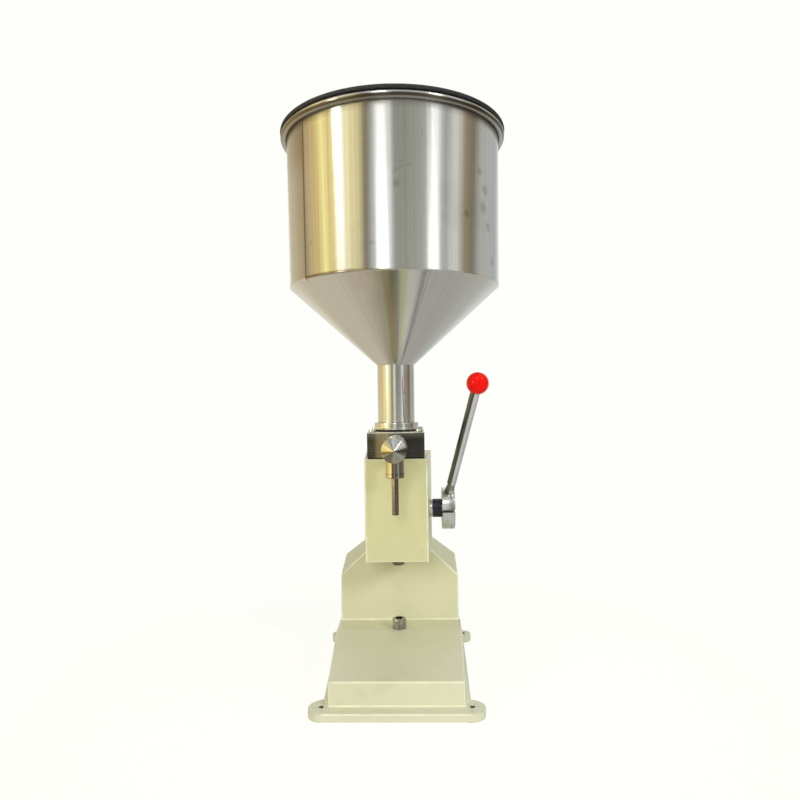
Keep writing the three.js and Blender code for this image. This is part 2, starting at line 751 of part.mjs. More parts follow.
// Valve block: chamber between the cylinder below, the hopper above and the outlet in front
const onOutletAxis = (made) => at(made, 0, 0, outlet_axis_height);
const outlet_bore = alongY(rod(outlet_bore_radius, -block_half_depth - cut_overrun, 0, small_facets));
const outlet_thread = alongY(rod(outlet_thread_radius + seat_gap,
  -block_half_depth - cut_overrun, outlet_thread_length + seat_gap - block_half_depth));
const block_bolt_hole = rod(block_bolt_radius + running_gap,
  block_foot_z - cut_overrun, block_top_z + cut_overrun, screw_facets);
const valve_block = cut(
  bevelledBox(block_half_width, block_half_depth, block_foot_z, block_top_z, block_edge_bevel),
  rod(cylinder_flange_radius + seat_gap, block_foot_z - cut_overrun, recess_top_z),
  rod(chamber_radius, recess_top_z - cut_overrun, chamber_top_z),
  rod(inlet_bore_radius, chamber_top_z - cut_overrun, block_top_z + cut_overrun, small_facets),
  rod(guide_recess_radius, block_top_z - guide_recess_depth, block_top_z + cut_overrun),
  onOutletAxis(outlet_bore),
  onOutletAxis(outlet_thread),
  ...block_bolt_places.map(([x, y]) => at(block_bolt_hole, x, y, 0)),
);
piece("valve_block", valve_block, ...dark_steel);
const block_bolt_socket_depth_share = 2 / 3;
const block_bolt = cut(
  bolt(block_bolt_radius, block_bolt_length, block_bolt_head_radius, block_bolt_head_height),
  rod(block_bolt_socket_radius, -block_bolt_head_height - cut_overrun,
    block_bolt_head_height * (block_bolt_socket_depth_share - 1), hexagon_sides),
).rotate([180, 0, 0]);
block_bolt_places.forEach(([x, y], i) =>
  piece(`block_bolt_${i + 1}`, at(block_bolt, x, y, block_top_z + seat_gap), ...steel));

// Part of a circle in a revolved profile, between two angles in degrees
function arc(circle_radius, centre_z, radius, start, end, steps) {
  return Array.from({ length: steps + 1 }, (_, i) => {
    const angle = (start + ((end - start) * i) / steps) * degree;
    return [circle_radius + radius * Math.cos(angle), centre_z + radius * Math.sin(angle)];
  });
}

// Hopper: a tube for a neck, a rolled cone, and a bowl whose rim is rolled into a bead
piece("hopper_neck", ring(neck_bore_radius, neck_radius, hopper_foot_z, cone_foot_z - seat_gap, fine_facets),
  ...steel);
const cone_wall_rise = hopper_wall / 2;
piece("hopper_cone", solid(revolve([
  [neck_bore_radius, cone_foot_z], [neck_radius, cone_foot_z], [bowl_foot_radius, cone_top_z],
  [bowl_foot_bore_radius, cone_top_z + cone_wall_rise], [neck_bore_radius, cone_foot_z + cone_wall_rise],
  [neck_bore_radius, cone_foot_z],
], fine_facets)), ...steel);
const bowl_foot_z = cone_top_z + seat_gap;
piece("hopper", solid(revolve([
  [bowl_foot_radius, bowl_foot_z], [bowl_top_radius, rim_bead_z - rim_bead_radius],
  ...arc(rim_bead_circle_radius, rim_bead_z, rim_bead_radius,
    -rim_bead_sweep, rim_bead_sweep, rim_bead_steps),
  [bowl_top_bore_radius, rim_bead_z], [bowl_foot_bore_radius, bowl_foot_z + cone_wall_rise],
  [bowl_foot_radius, bowl_foot_z],
], fine_facets)), ...steel);
const collar_bore_radius = neck_radius + seat_gap;
const collar_top_z = hopper_foot_z + hopper_collar_height;
piece("hopper_collar", solid(revolve([
  [collar_bore_radius, hopper_foot_z], [hopper_collar_radius - hopper_collar_bevel, hopper_foot_z],
  [hopper_collar_radius, hopper_foot_z + hopper_collar_bevel],
  [hopper_collar_radius, collar_top_z - hopper_collar_bevel],
  [hopper_collar_radius - hopper_collar_bevel, collar_top_z],
  [collar_bore_radius, collar_top_z], [collar_bore_radius, hopper_foot_z],
], fine_facets)), ...bright);
const gasket_foot_z = block_top_z + seat_gap;
const gasket_radius = hopper_collar_radius - hopper_gasket_inset;
piece("hopper_gasket", ring(neck_bore_radius, gasket_radius, gasket_foot_z,
  gasket_foot_z + hopper_gasket_thickness), ...black);

// Lid: dished sheet with a lip inside the rim; a black edging round its flange rests on the bead
const edging_z = lid_seat_z + lid_edging_radius;
const edging_top_z = edging_z + lid_edging_radius;
const edging_bore_radius = lid_edge_circle_radius - lid_edging_lap;
const flange_foot_z = edging_z - lid_sheet / 2;
const flange_top_z = flange_foot_z + lid_sheet;
const slot_radius = lid_edge_circle_radius + seat_gap;
const lip_radius = bowl_top_bore_radius - lid_lip_clearance;
const slope_radius = lip_radius - lid_slope_run;
const crown_radius = slope_radius - lid_crown_run;
const lid_foot_line = [
  [lid_hole_radius, flange_foot_z + lid_centre_rise], [crown_radius, flange_foot_z + lid_crown_rise],
  [slope_radius, flange_foot_z + lid_slope_rise],
];
const lid_top_line = lid_foot_line.map(([radius, z]) => [radius, z + lid_sheet]).reverse();
piece("lid", solid(revolve([
  ...lid_foot_line, [lip_radius - lid_sheet, flange_foot_z],
  [lip_radius - lid_sheet, flange_foot_z - lid_lip_depth], [lip_radius, flange_foot_z - lid_lip_depth],
  [lip_radius, flange_foot_z], [lid_edge_circle_radius, flange_foot_z],
  [lid_edge_circle_radius, flange_top_z], [lip_radius, flange_top_z], ...lid_top_line, lid_foot_line[0],
], fine_facets)), ...steel);
piece("lid_edging", solid(revolve([
  [edging_bore_radius, lid_seat_z],
  ...arc(lid_edge_circle_radius, edging_z, lid_edging_radius, -lid_edging_sweep, lid_edging_sweep,
    lid_edging_steps),
  [edging_bore_radius, edging_top_z], [edging_bore_radius, flange_top_z + seat_gap],
  [slot_radius, flange_top_z + seat_gap], [slot_radius, flange_foot_z - seat_gap],
  [edging_bore_radius, flange_foot_z - seat_gap], [edging_bore_radius, lid_seat_z],
], fine_facets)), ...black);

// Turned knob with a waist, and its screw from below
const lid_centre_z = flange_foot_z + lid_centre_rise;
const knob_foot_z = lid_centre_z + lid_sheet + seat_gap;
const lid_screw_foot_z = lid_centre_z - seat_gap;
const lid_screw_top_z = lid_screw_foot_z + lid_screw_length;
const knob_profile_shares = [[0.19, 0.1], [0.4, 0], [0.53, 0.45], [0.72, 1], [0.93, 0.95], [1, 0.6]];
const knob_swell = knob_radius - knob_waist_radius;
const knob_points = knob_profile_shares.map(([height_share, width_share]) =>
  [knob_waist_radius + width_share * knob_swell, knob_foot_z + height_share * knob_height]);
piece("lid_knob", cut(
  solid(revolve([[0, knob_foot_z], [knob_foot_radius, knob_foot_z], ...knob_points,
    [0, knob_foot_z + knob_height]], round_facets)),
  rod(lid_screw_radius + running_gap, knob_foot_z - cut_overrun, lid_screw_top_z + seat_gap, screw_facets),
), ...black);
const lid_screw = bolt(lid_screw_radius, lid_screw_length, lid_screw_head_radius, lid_screw_head_height);
piece("lid_screw", at(lid_screw, 0, 0, lid_screw_foot_z), ...steel);

// Cylinder, hung by its flange between the housing and the valve block
const cylinder_foot_z = housing_top_z - cylinder_skirt;
const cylinder_top_z = block_foot_z + cylinder_flange_thickness;
piece("cylinder", solid(revolve([
  [cylinder_bore_radius, cylinder_foot_z], [cylinder_outer_radius, cylinder_foot_z],
  [cylinder_outer_radius, block_foot_z], [cylinder_flange_radius, block_foot_z],
  [cylinder_flange_radius, cylinder_top_z], [cylinder_bore_radius, cylinder_top_z],
  [cylinder_bore_radius, cylinder_foot_z],
], round_facets)), ...bright);

// Piston with two ring grooves
const piston_radius = cylinder_bore_radius - piston_clearance;
const piston_ring_circle_radius = cylinder_bore_radius - seat_gap - piston_ring_section_radius;
const groove_radius = piston_ring_circle_radius - piston_ring_section_radius - seat_gap;
const groove_half_height = piston_ring_section_radius + seat_gap;
const upper_ring_z = piston_top_height - piston_ring_inset;
const ring_heights = [upper_ring_z, upper_ring_z - piston_ring_spacing];
const piston_socket = rod(rod_spigot_radius + seat_gap, piston_foot_z - cut_overrun,
  piston_foot_z + rod_spigot_length + seat_gap, small_facets);
piece("piston", cut(
  rod(piston_radius, piston_foot_z, piston_top_height, round_facets),
  piston_socket,
  ...ring_heights.map((z) =>
    ring(groove_radius, cylinder_bore_radius, z - groove_half_height, z + groove_half_height, round_facets)),
), ...bright);
const ring_section_sides = 6;
ring_heights.forEach((z, i) => {
  const section = arc(piston_ring_circle_radius, z, piston_ring_section_radius,
    0, full_turn, ring_section_sides);
  piece(`piston_ring_${i + 1}`, solid(revolve(section, round_facets)), ...black);
});

// Piston rod with a rack cut into its front side
const rack_low_z = shaft_height - rack_teeth_below * tooth_pitch - rack_runout;
const rack_high_z = shaft_height + rack_teeth_above * tooth_pitch + rack_runout;
const flank_share = Math.tan(pressure_angle * degree);
const rack_root_y = -(rack_pitch_line_offset - dedendum);
const rack_tip_y = -(rack_pitch_line_offset + gear_module);
const half_tooth = tooth_pitch / 4 - tooth_backlash / 4;
const rack_tooth = (z) => {
  const tip = half_tooth - gear_module * flank_share;
  const root = half_tooth + dedendum * flank_share;
  const inner_y = rack_root_y + dedendum / 2;
  const outline = [
    [rack_tip_y, z - tip], [rack_tip_y, z + tip], [rack_root_y, z + root],
    [inner_y, z + root], [inner_y, z - root], [rack_root_y, z - root],
  ];
  const shape = new THREE.Shape(outline.map(([y, height]) => new THREE.Vector2(y, height)));
  const geometry = new THREE.ExtrudeGeometry(shape, { depth: 2 * rod_radius, bevelEnabled: false });
  geometry.translate(0, 0, -rod_radius);
  geometry.rotateY(Math.PI / 2);
  geometry.rotateX(Math.PI / 2);
  return solid(geometry);
};
const rod_bar = solid(revolve([
  [0, rod_foot_height], [rod_radius - rod_foot_bevel, rod_foot_height],
  [rod_radius, rod_foot_height + rod_foot_bevel], [rod_radius, piston_foot_z - seat_gap],
  [rod_spigot_radius, piston_foot_z - seat_gap], [rod_spigot_radius, piston_foot_z + rod_spigot_length],
  [0, piston_foot_z + rod_spigot_length],
], round_facets));
const rod_width = 2 * rod_radius;
const rack_pocket = raise([
  [-rod_width, -rod_width], [rod_width, -rod_width], [rod_width, rack_root_y], [-rod_width, rack_root_y],
], rack_low_z, rack_high_z);
const rack_blank = rod(rod_radius, rack_low_z, rack_high_z);
const rack_teeth = Array.from({ length: rack_teeth_below + rack_teeth_above + 1 }, (_, i) =>
  rack_tooth(shaft_height + (i - rack_teeth_below) * tooth_pitch).intersect(rack_blank));
piece("piston_rod", join(cut(rod_bar, rack_pocket), ...rack_teeth), ...bright);
const rod_bush_bore_radius = rod_radius + running_gap;
const rod_bush_flange_z = housing_floor_z + seat_gap;
const rod_bush_flange_top_z = rod_bush_flange_z + rod_bush_flange_thickness;
const rod_bush_top_z = housing_floor_z + rod_bush_flange_thickness + rod_bush_neck;
piece("rod_guide_bush", solid(revolve([
  [rod_bush_bore_radius, housing_foot_z], [rod_bush_radius, housing_foot_z],
  [rod_bush_radius, rod_bush_flange_z], [rod_bush_flange_radius, rod_bush_flange_z],
  [rod_bush_flange_radius, rod_bush_flange_top_z], [rod_bush_radius, rod_bush_flange_top_z],
  [rod_bush_radius, rod_bush_top_z], [rod_bush_bore_radius, rod_bush_top_z],
  [rod_bush_bore_radius, housing_foot_z],
], round_facets)), ...bronze);

// Pinion with involute flanks, a tooth gap facing the rack
const flank_step_shares = [0, 0.4, 1];
function pinionOutline() {
  const base_radius = pitch_radius * Math.cos(pressure_angle * degree);
  const tip_radius = pitch_radius + gear_module;
  const root_radius = pitch_radius - dedendum;
  const involute = (radius) => {
    const spread = Math.sqrt(Math.max(0, (radius / base_radius) ** 2 - 1));
    return spread - Math.atan(spread);
  };
  const half_at_pitch = Math.PI / (2 * pinion_teeth) - tooth_backlash / (4 * pitch_radius);
  const half_at = (radius) =>
    half_at_pitch + involute(pitch_radius) - involute(Math.max(radius, base_radius));
  const radii = flank_step_shares.map((share) => base_radius + share * (tip_radius - base_radius));
  const side = [[root_radius, half_at(base_radius)], ...radii.map((radius) => [radius, half_at(radius)])];
  const point = (radius, angle) => [radius * Math.cos(angle), radius * Math.sin(angle)];
  return Array.from({ length: pinion_teeth }, (_, tooth) => {
    const centre = ((tooth + 0.5) * 2 * Math.PI) / pinion_teeth;
    const near = side.map(([radius, half]) => point(radius, centre - half));
    const far = side.map(([radius, half]) => point(radius, centre + half)).reverse();
    return [...near, ...far];
  }).flat();
}

// Along X, with the outline's first axis turned towards the rack
const pinion_blank = raise(pinionOutline(), -pinion_width / 2, pinion_width / 2)
  .rotate([0, 90, 0])
  .rotate([90, 0, 0]);
const keyway = (low, high, half_length, half_width) => raise([
  [-half_length, -half_width], [half_length, -half_width],
  [half_length, half_width], [-half_length, half_width],
], low, high);
const key_foot_radius = shaft_radius - key_sink;
const key_top_radius = shaft_radius + key_stand;
piece("pinion", onShaft(cut(
  pinion_blank,
  alongX(rod(shaft_radius + seat_gap, -pinion_width, pinion_width)),
  keyway(0, key_top_radius + seat_gap, pinion_width, key_width / 2 + seat_gap),
)), ...steel);
piece("pinion_key", onShaft(keyway(key_foot_radius, key_top_radius, key_half_length, key_width / 2)),
  ...steel);

// Drive shaft, stepped at its left end, with keyway and circlip groove
const shaft_right_x = hub_outer_x - shaft_end_inset;
const circlip_radius = shaft_radius + circlip_width;
const circlip_outer_x = right_bush_inner_x - seat_gap;
const circlip_inner_x = circlip_outer_x - circlip_thickness;
const circlip_groove_radius = shaft_radius - circlip_groove_depth;
const shaft_bar = join(
  alongX(rod(shaft_radius, shaft_step_x, shaft_right_x)),
  alongX(rod(shaft_end_radius, shaft_left_x, shaft_step_x + cut_overrun)),
);
piece("drive_shaft", onShaft(cut(
  shaft_bar,
  keyway(key_foot_radius - seat_gap, shaft_radius + cut_overrun, key_half_length + seat_gap,
    key_width / 2 + seat_gap),
  alongX(ring(circlip_groove_radius, shaft_radius + cut_overrun, circlip_inner_x - seat_gap,
    circlip_outer_x + seat_gap)),
)), ...bright);
const circlip_slot = 2 * circlip_radius * Math.tan((circlip_opening * degree) / 2);
const circlip_slot_low_x = circlip_inner_x - cut_overrun;
const circlip_slot_high_x = circlip_outer_x + cut_overrun;
piece("shaft_circlip", onShaft(cut(
  alongX(ring(circlip_groove_radius + seat_gap, circlip_radius,
    circlip_inner_x, circlip_outer_x, small_facets)),
  raise([
    [circlip_slot_low_x, 0], [circlip_slot_high_x, 0],
    [circlip_slot_high_x, 2 * circlip_radius], [circlip_slot_low_x, 2 * circlip_radius],
  ], -circlip_slot / 2, circlip_slot / 2),
)), ...dark_steel);
const right_bush_bore_radius = shaft_radius + running_gap;
const right_bush = join(
  ring(right_bush_bore_radius, right_bush_radius, right_bush_inner_x, right_bush_outer_x),
  ring(right_bush_bore_radius, right_bush_flange_radius, right_bush_outer_x - right_bush_flange_thickness,
    right_bush_outer_x),
);
piece("shaft_bush_right", onShaft(alongX(right_bush)), ...steel);
const left_bush_bore_radius = shaft_end_radius + running_gap;
const left_bush = join(
  ring(left_bush_bore_radius, left_bush_radius, shaft_left_x, left_bush_outer_x),
  ring(left_bush_bore_radius, left_bush_flange_radius, left_seat_x + seat_gap, left_bush_outer_x),
);
piece("shaft_bush_left", onShaft(alongX(left_bush)), ...bronze);
const shaft_collar_x = right_bush_outer_x + seat_gap;
const collar_bore_on_shaft = shaft_radius + seat_gap;
piece("shaft_collar", onShaft(alongX(ring(collar_bore_on_shaft, collar_bore_on_shaft + shaft_collar_wall,
  shaft_collar_x, shaft_collar_x + shaft_collar_length))), ...navy);

// Lever: direction from the hub, leaning forward and outward
const lever_direction = new THREE.Vector3(
  lever_outward_share, -Math.sin(lever_lean * degree), Math.cos(lever_lean * degree));
const lever_stretch = lever_direction.length();
const lever_turn = new THREE.Quaternion()
  .setFromUnitVectors(new THREE.Vector3(0, 0, 1), lever_direction.clone().normalize());
const lever_place = new THREE.Matrix4().compose(
  new THREE.Vector3(lever_foot_x, shaft_y, shaft_height), lever_turn, new THREE.Vector3(1, 1, 1));
const onLever = (made) => made.transform(lever_place.toArray());
const ball_distance = ball_centre_distance * lever_stretch;
const ball_neck_distance = ball_distance - Math.sqrt(ball_radius ** 2 - ball_neck_radius ** 2);
const lever_top = ball_neck_distance - seat_gap;

// Clamp hub: slit from the rim to the bore, closed by a screw from below
const hub_facets = round_facets + screw_facets;
const hub_bore_radius = shaft_radius + seat_gap;
const hub_body = onShaft(alongX(solid(revolve([
  [hub_bore_radius, hub_inner_x], [hub_radius - hub_edge_bevel, hub_inner_x],
  [hub_radius, hub_inner_x + hub_edge_bevel], [hub_radius, hub_outer_x - hub_edge_bevel],
  [hub_radius - hub_edge_bevel, hub_outer_x], [hub_bore_radius, hub_outer_x], [hub_bore_radius, hub_inner_x],
], hub_facets))));
const slit_front_y = shaft_y - hub_radius - cut_overrun;
const slit_left_x = hub_inner_x - cut_overrun;
const slit_right_x = hub_outer_x + cut_overrun;
const hub_slit_cut = raise([
  [slit_left_x, slit_front_y], [slit_right_x, slit_front_y], [slit_right_x, shaft_y], [slit_left_x, shaft_y],
], shaft_height - hub_slit / 2, shaft_height + hub_slit / 2);
const hub_screw_y = shaft_y - (hub_radius - hub_screw_inset);
const hub_screw_seat_z = shaft_height - hub_screw_head_depth;
const hub_screw_hole = join(
  rod(hub_screw_radius + seat_gap, hub_screw_seat_z - cut_overrun,
    hub_screw_seat_z + hub_screw_length + seat_gap, screw_facets),
  rod(hub_screw_head_radius + seat_gap, hub_screw_seat_z - hub_radius, hub_screw_seat_z, screw_facets),
);
const lever_socket = onLever(rod(lever_radius + seat_gap, lever_socket_start - seat_gap,
  hub_radius + hub_width, small_facets));
piece("lever_hub", cut(
  hub_body,
  hub_slit_cut,
  at(hub_screw_hole, hub_centre_x, hub_screw_y, 0),
  lever_socket,
), ...bright);
piece("hub_clamp_screw", at(cut(
  bolt(hub_screw_radius, hub_screw_length, hub_screw_head_radius, hub_screw_head_height),
  rod(hub_screw_radius - seat_gap, -hub_screw_head_height - cut_overrun, -hub_screw_head_height / 2,
    hexagon_sides),
), hub_centre_x, hub_screw_y, hub_screw_seat_z - seat_gap), ...steel);

// Lever rod with two spanner flats, and the ball on its spigot
const flat_outer = 2 * lever_radius;
const flat_cut = (side) => raise([
  [side * lever_flat_half_width, -flat_outer], [side * flat_outer, -flat_outer],
  [side * flat_outer, flat_outer],
  [side * lever_flat_half_width, flat_outer],
], lever_flat_start, lever_flat_start + lever_flat_length);
const lever_bar = join(
  rod(lever_radius, lever_socket_start, lever_top, small_facets),
  rod(ball_spigot_radius, lever_top - ball_spigot_length,
    ball_neck_distance + ball_spigot_length, small_facets),
);
piece("lever_rod", onLever(cut(lever_bar, flat_cut(1), flat_cut(-1))), ...bright);
const ball_steps = 8;
const ball_start = -Math.acos(ball_neck_radius / ball_radius);
const ball_profile = Array.from({ length: ball_steps }, (_, i) => {
  const angle = ball_start + ((Math.PI / 2 - ball_start) * i) / ball_steps;
  return [ball_radius * Math.cos(angle), ball_distance + ball_radius * Math.sin(angle)];
});
piece("lever_ball", onLever(cut(
  solid(revolve([[0, ball_neck_distance], ...ball_profile, [0, ball_distance + ball_radius]], round_facets)),
  rod(ball_spigot_radius + seat_gap, ball_neck_distance - cut_overrun,
    ball_neck_distance + ball_spigot_length + seat_gap, small_facets),
)), ...red);

// Stop screw: knurled head with a hexagon socket, screwed down into the ledge
const stop_head_foot_z = ledge_height + seat_gap;
const stop_head_top_z = stop_head_foot_z + stop_head_height;
const stop_head = solid(revolve([
  [0, stop_head_foot_z], [stop_head_radius, stop_head_foot_z],
  [stop_head_radius, stop_head_top_z - stop_head_bevel],
  [stop_head_radius - stop_head_bevel, stop_head_top_z], [0, stop_head_top_z],
], round_facets));
piece("stop_screw", cut(
  join(
    rod(stop_radius, stop_head_foot_z - stop_length, stop_head_foot_z + stop_head_bevel, small_facets),
    stop_head,
  ),
  rod(stop_socket_radius, stop_head_top_z - stop_socket_depth, stop_head_top_z + cut_overrun, hexagon_sides),
), ...steel);

// Inlet valve: disc under its seat, stem up through a guide into the neck, spring and nut on top
const inlet_disc_top_z = chamber_top_z - seat_gap;
const inlet_disc_foot_z = inlet_disc_top_z - inlet_disc_thickness;
const guide_foot_z = block_top_z - guide_recess_depth + seat_gap;
const guide_top_z = guide_foot_z + guide_disc_thickness;
const inlet_spring_foot_z = guide_top_z + seat_gap;
const inlet_spring_top_z = inlet_spring_foot_z + inlet_spring_length;
const inlet_nut_foot_z = inlet_spring_top_z + seat_gap;
const inlet_nut_top_z = inlet_nut_foot_z + inlet_nut_height;
piece("inlet_valve", join(
  rod(chamber_radius - inlet_disc_clearance, inlet_disc_foot_z, inlet_disc_top_z, small_facets),
  rod(inlet_stem_radius, inlet_disc_foot_z + inlet_disc_thickness / 2, inlet_nut_top_z + inlet_stem_end,
    screw_facets),
), ...bright);
const guide_window = rod(guide_window_radius, guide_foot_z - cut_overrun, guide_top_z + cut_overrun,
  screw_facets);
piece("inlet_guide", cut(
  rod(guide_recess_radius - seat_gap, guide_foot_z, guide_top_z),
  rod(inlet_stem_radius + running_gap, guide_foot_z - cut_overrun, guide_top_z + cut_overrun, screw_facets),
  ...Array.from({ length: guide_windows }, (_, i) => {
    const turn = new THREE.Vector2(guide_window_circle_radius, 0)
      .rotateAround(new THREE.Vector2(), ((i + 0.5) * 2 * Math.PI) / guide_windows);
    return at(guide_window, turn.x, turn.y, 0);
  }),
), ...steel);
piece("inlet_spring", helix(inlet_spring_circle_radius, inlet_spring_wire_radius, inlet_spring_foot_z,
  inlet_spring_top_z, inlet_spring_turns), ...steel);
piece("inlet_spring_nut", ring(inlet_stem_radius + seat_gap, inlet_nut_radius, inlet_nut_foot_z,
  inlet_nut_top_z, small_facets), ...steel);

// Outlet body, screwed into the front of the valve block, with its valve chamber and the port to the nozzle
const outlet_spigot_end_y = outlet_thread_length - block_half_depth;
const onOutlet = (made) => onOutletAxis(made.rotate([90, 0, 0]));
const forward = (y) => -y;
const outlet_shell = join(
  rod(outlet_body_radius, forward(outlet_body_rear_y), forward(outlet_body_front_y), round_facets),
  rod(outlet_thread_radius, forward(outlet_spigot_end_y), forward(outlet_body_rear_y) + cut_overrun),
);
const outlet_passage = rod(outlet_bore_radius, forward(outlet_spigot_end_y) - cut_overrun,
  forward(outlet_seat_y) + cut_overrun, small_facets);
const outlet_chamber = rod(outlet_chamber_radius,
  forward(outlet_seat_y), forward(outlet_body_front_y) + cut_overrun);
const outlet_port = rod(nozzle_spigot_radius + seat_gap,
  outlet_axis_height - outlet_body_radius - cut_overrun, outlet_axis_height, small_facets);
piece("outlet_body", cut(
  onOutlet(cut(outlet_shell, outlet_passage, outlet_chamber)),
  at(outlet_port, 0, nozzle_y, 0),
), ...bright);
const outlet_gasket_radius = outlet_body_radius - outlet_gasket_inset;
piece("outlet_gasket", onOutlet(ring(outlet_thread_radius + seat_gap, outlet_gasket_radius,
  forward(outlet_gasket_rear_y), forward(outlet_gasket_front_y))), ...black);
const poppet_rear_y = outlet_seat_y - seat_gap;
const poppet_front_y = poppet_rear_y - outlet_poppet_thickness;
piece("outlet_valve", onOutlet(join(
  rod(outlet_chamber_radius - outlet_poppet_clearance, forward(poppet_rear_y), forward(poppet_front_y),
    small_facets),
  rod(outlet_stem_radius, forward(poppet_rear_y) + outlet_poppet_thickness / 2,
    forward(poppet_front_y) + outlet_stem_length, screw_facets),
)), ...bright);
const cap_rear_y = outlet_body_front_y - seat_gap;
const cap_plug_y = cap_rear_y + cap_plug_length;
const cap_plug_radius = outlet_chamber_radius - seat_gap;
const cap_radius = outlet_body_radius + cap_overhang;
const cap_rim_y = cap_rear_y - cap_rim;
piece("outlet_spring", onOutlet(helix(outlet_spring_circle_radius, outlet_spring_wire_radius,
  forward(poppet_front_y) + seat_gap, forward(cap_plug_y) - seat_gap, outlet_spring_turns)), ...steel);
piece("outlet_cap", onOutlet(solid(revolve([
  [0, forward(cap_plug_y)], [cap_plug_radius, forward(cap_plug_y)], [cap_plug_radius, forward(cap_rear_y)],
  [cap_radius, forward(cap_rear_y)], [cap_radius, forward(cap_rim_y)], [0, forward(cap_rim_y) + cap_cone],
], round_facets))), ...bright);

// Nozzle: body saddled under the outlet body, nut and thin tube
const onNozzle = (made) => at(made, 0, nozzle_y, 0);
const outlet_saddle = onOutlet(rod(outlet_body_radius + seat_gap, forward(nozzle_y) - 2 * nozzle_body_radius,
  forward(nozzle_y) + 2 * nozzle_body_radius, round_facets));
const nozzle_spigot_top_z = outlet_axis_height - outlet_chamber_radius + seat_gap;
const nozzle_socket_top_z = nozzle_foot_z + nozzle_socket_depth;
const nozzle_stub = onNozzle(rod(nozzle_body_radius,
  nozzle_foot_z, outlet_axis_height - outlet_body_radius / 2));
const nozzle_spigot = rod(nozzle_spigot_radius, nozzle_socket_top_z, nozzle_spigot_top_z, small_facets);
const nozzle_bore = rod(nozzle_bore_radius, nozzle_foot_z, nozzle_spigot_top_z + cut_overrun, small_facets);
piece("nozzle_body", cut(
  join(cut(nozzle_stub, outlet_saddle), onNozzle(nozzle_spigot)),
  onNozzle(nozzle_bore),
  onNozzle(rod(nozzle_socket_radius, nozzle_foot_z - cut_overrun, nozzle_socket_top_z)),
), ...bright);
const nut_top_z = nozzle_foot_z - seat_gap;
const nut_foot_z = nut_top_z - nozzle_nut_height;
const nut_thread_top_z = nut_top_z + nozzle_nut_thread_length;
const nut_bore_radius = tube_radius + seat_gap;
const nut_thread_radius = nozzle_socket_radius - seat_gap;
const nut_radius = nozzle_body_radius + nozzle_nut_overhang;
piece("nozzle_nut", onNozzle(solid(revolve([
  [nut_bore_radius, nut_foot_z], [nut_radius, nut_foot_z],
  [nut_radius, nut_top_z], [nut_thread_radius, nut_top_z],
  [nut_thread_radius, nut_thread_top_z], [nut_bore_radius, nut_thread_top_z], [nut_bore_radius, nut_foot_z],
], round_facets))), ...steel);
const tube_bore_radius = tube_radius - tube_wall;
const tube_foot_z = nozzle_foot_z - tube_hang;
const tube_flange_radius = nozzle_socket_radius - tube_flange_clearance;
const tube_flange_foot_z = nut_thread_top_z + seat_gap;
const tube_top_z = tube_flange_foot_z + tube_flange_thickness;
piece("nozzle_tube", onNozzle(solid(revolve([
  [tube_bore_radius, tube_foot_z], [tube_radius, tube_foot_z], [tube_radius, tube_flange_foot_z],
  [tube_flange_radius, tube_flange_foot_z], [tube_flange_radius, tube_top_z], [tube_bore_radius, tube_top_z],
  [tube_bore_radius, tube_foot_z],
], small_facets))), ...bright);

export default part;
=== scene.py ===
import math

import bmesh
import bpy
from mathutils import Matrix, Vector


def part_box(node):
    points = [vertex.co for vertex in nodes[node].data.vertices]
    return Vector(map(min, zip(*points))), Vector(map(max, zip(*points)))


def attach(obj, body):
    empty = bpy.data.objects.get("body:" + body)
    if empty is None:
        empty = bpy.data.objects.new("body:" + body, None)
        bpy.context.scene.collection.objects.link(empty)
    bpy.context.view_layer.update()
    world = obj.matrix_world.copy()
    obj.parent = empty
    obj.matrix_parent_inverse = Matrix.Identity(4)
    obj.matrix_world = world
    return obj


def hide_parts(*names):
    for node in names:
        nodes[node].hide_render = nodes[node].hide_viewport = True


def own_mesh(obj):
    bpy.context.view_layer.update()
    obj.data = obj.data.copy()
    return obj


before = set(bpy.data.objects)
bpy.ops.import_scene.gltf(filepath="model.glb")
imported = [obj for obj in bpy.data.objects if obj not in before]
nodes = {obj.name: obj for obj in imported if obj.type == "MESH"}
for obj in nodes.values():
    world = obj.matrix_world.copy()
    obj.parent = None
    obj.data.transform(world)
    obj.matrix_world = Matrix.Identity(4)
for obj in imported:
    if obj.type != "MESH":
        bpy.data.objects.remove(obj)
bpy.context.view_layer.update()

mm = 0.001

# Camera. The photograph was taken from the operator's side, a little to the
# right, with the lens at the height of the hopper's neck.
eye = Vector((0.0288, -0.8813, 0.3776))
turn, tilt, lean = math.radians(1.52), math.radians(0.355), math.radians(-0.814)
focal_pixels, picture_pixels = 632.6, 800
ahead = Vector((-math.sin(turn) * math.cos(tilt), math.cos(turn) * math.cos(tilt), -math.sin(tilt)))
level = Vector((math.cos(turn), math.sin(turn), 0))
above = level.cross(ahead)
right = math.cos(lean) * level + math.sin(lean) * above
up = math.cos(lean) * above - math.sin(lean) * level
lens = bpy.data.cameras.new("camera")
lens.sensor_width = 36
lens.lens = focal_pixels / picture_pixels * lens.sensor_width
lens.clip_start = 0.01
camera = bpy.data.objects.new("camera", lens)
bpy.context.scene.collection.objects.link(camera)
camera.matrix_world = Matrix((
    (right.x, up.x, -ahead.x, eye.x),
    (right.y, up.y, -ahead.y, eye.y),
    (right.z, up.z, -ahead.z, eye.z),
    (0, 0, 0, 1)))
bpy.context.scene.camera = camera

# Studio. A workshop of gold, white and grey walls for the steel to mirror, a
# pale floor that fades into a white surround, and three large soft lamps.
def feed(tree, made, feeds):
    for name, value in feeds.items():
        socket = made.inputs[name]
        if isinstance(value, bpy.types.NodeSocket):
            tree.links.new(value, socket)
        else:
            socket.default_value = (*value, 1) if socket.type == "RGBA" else value


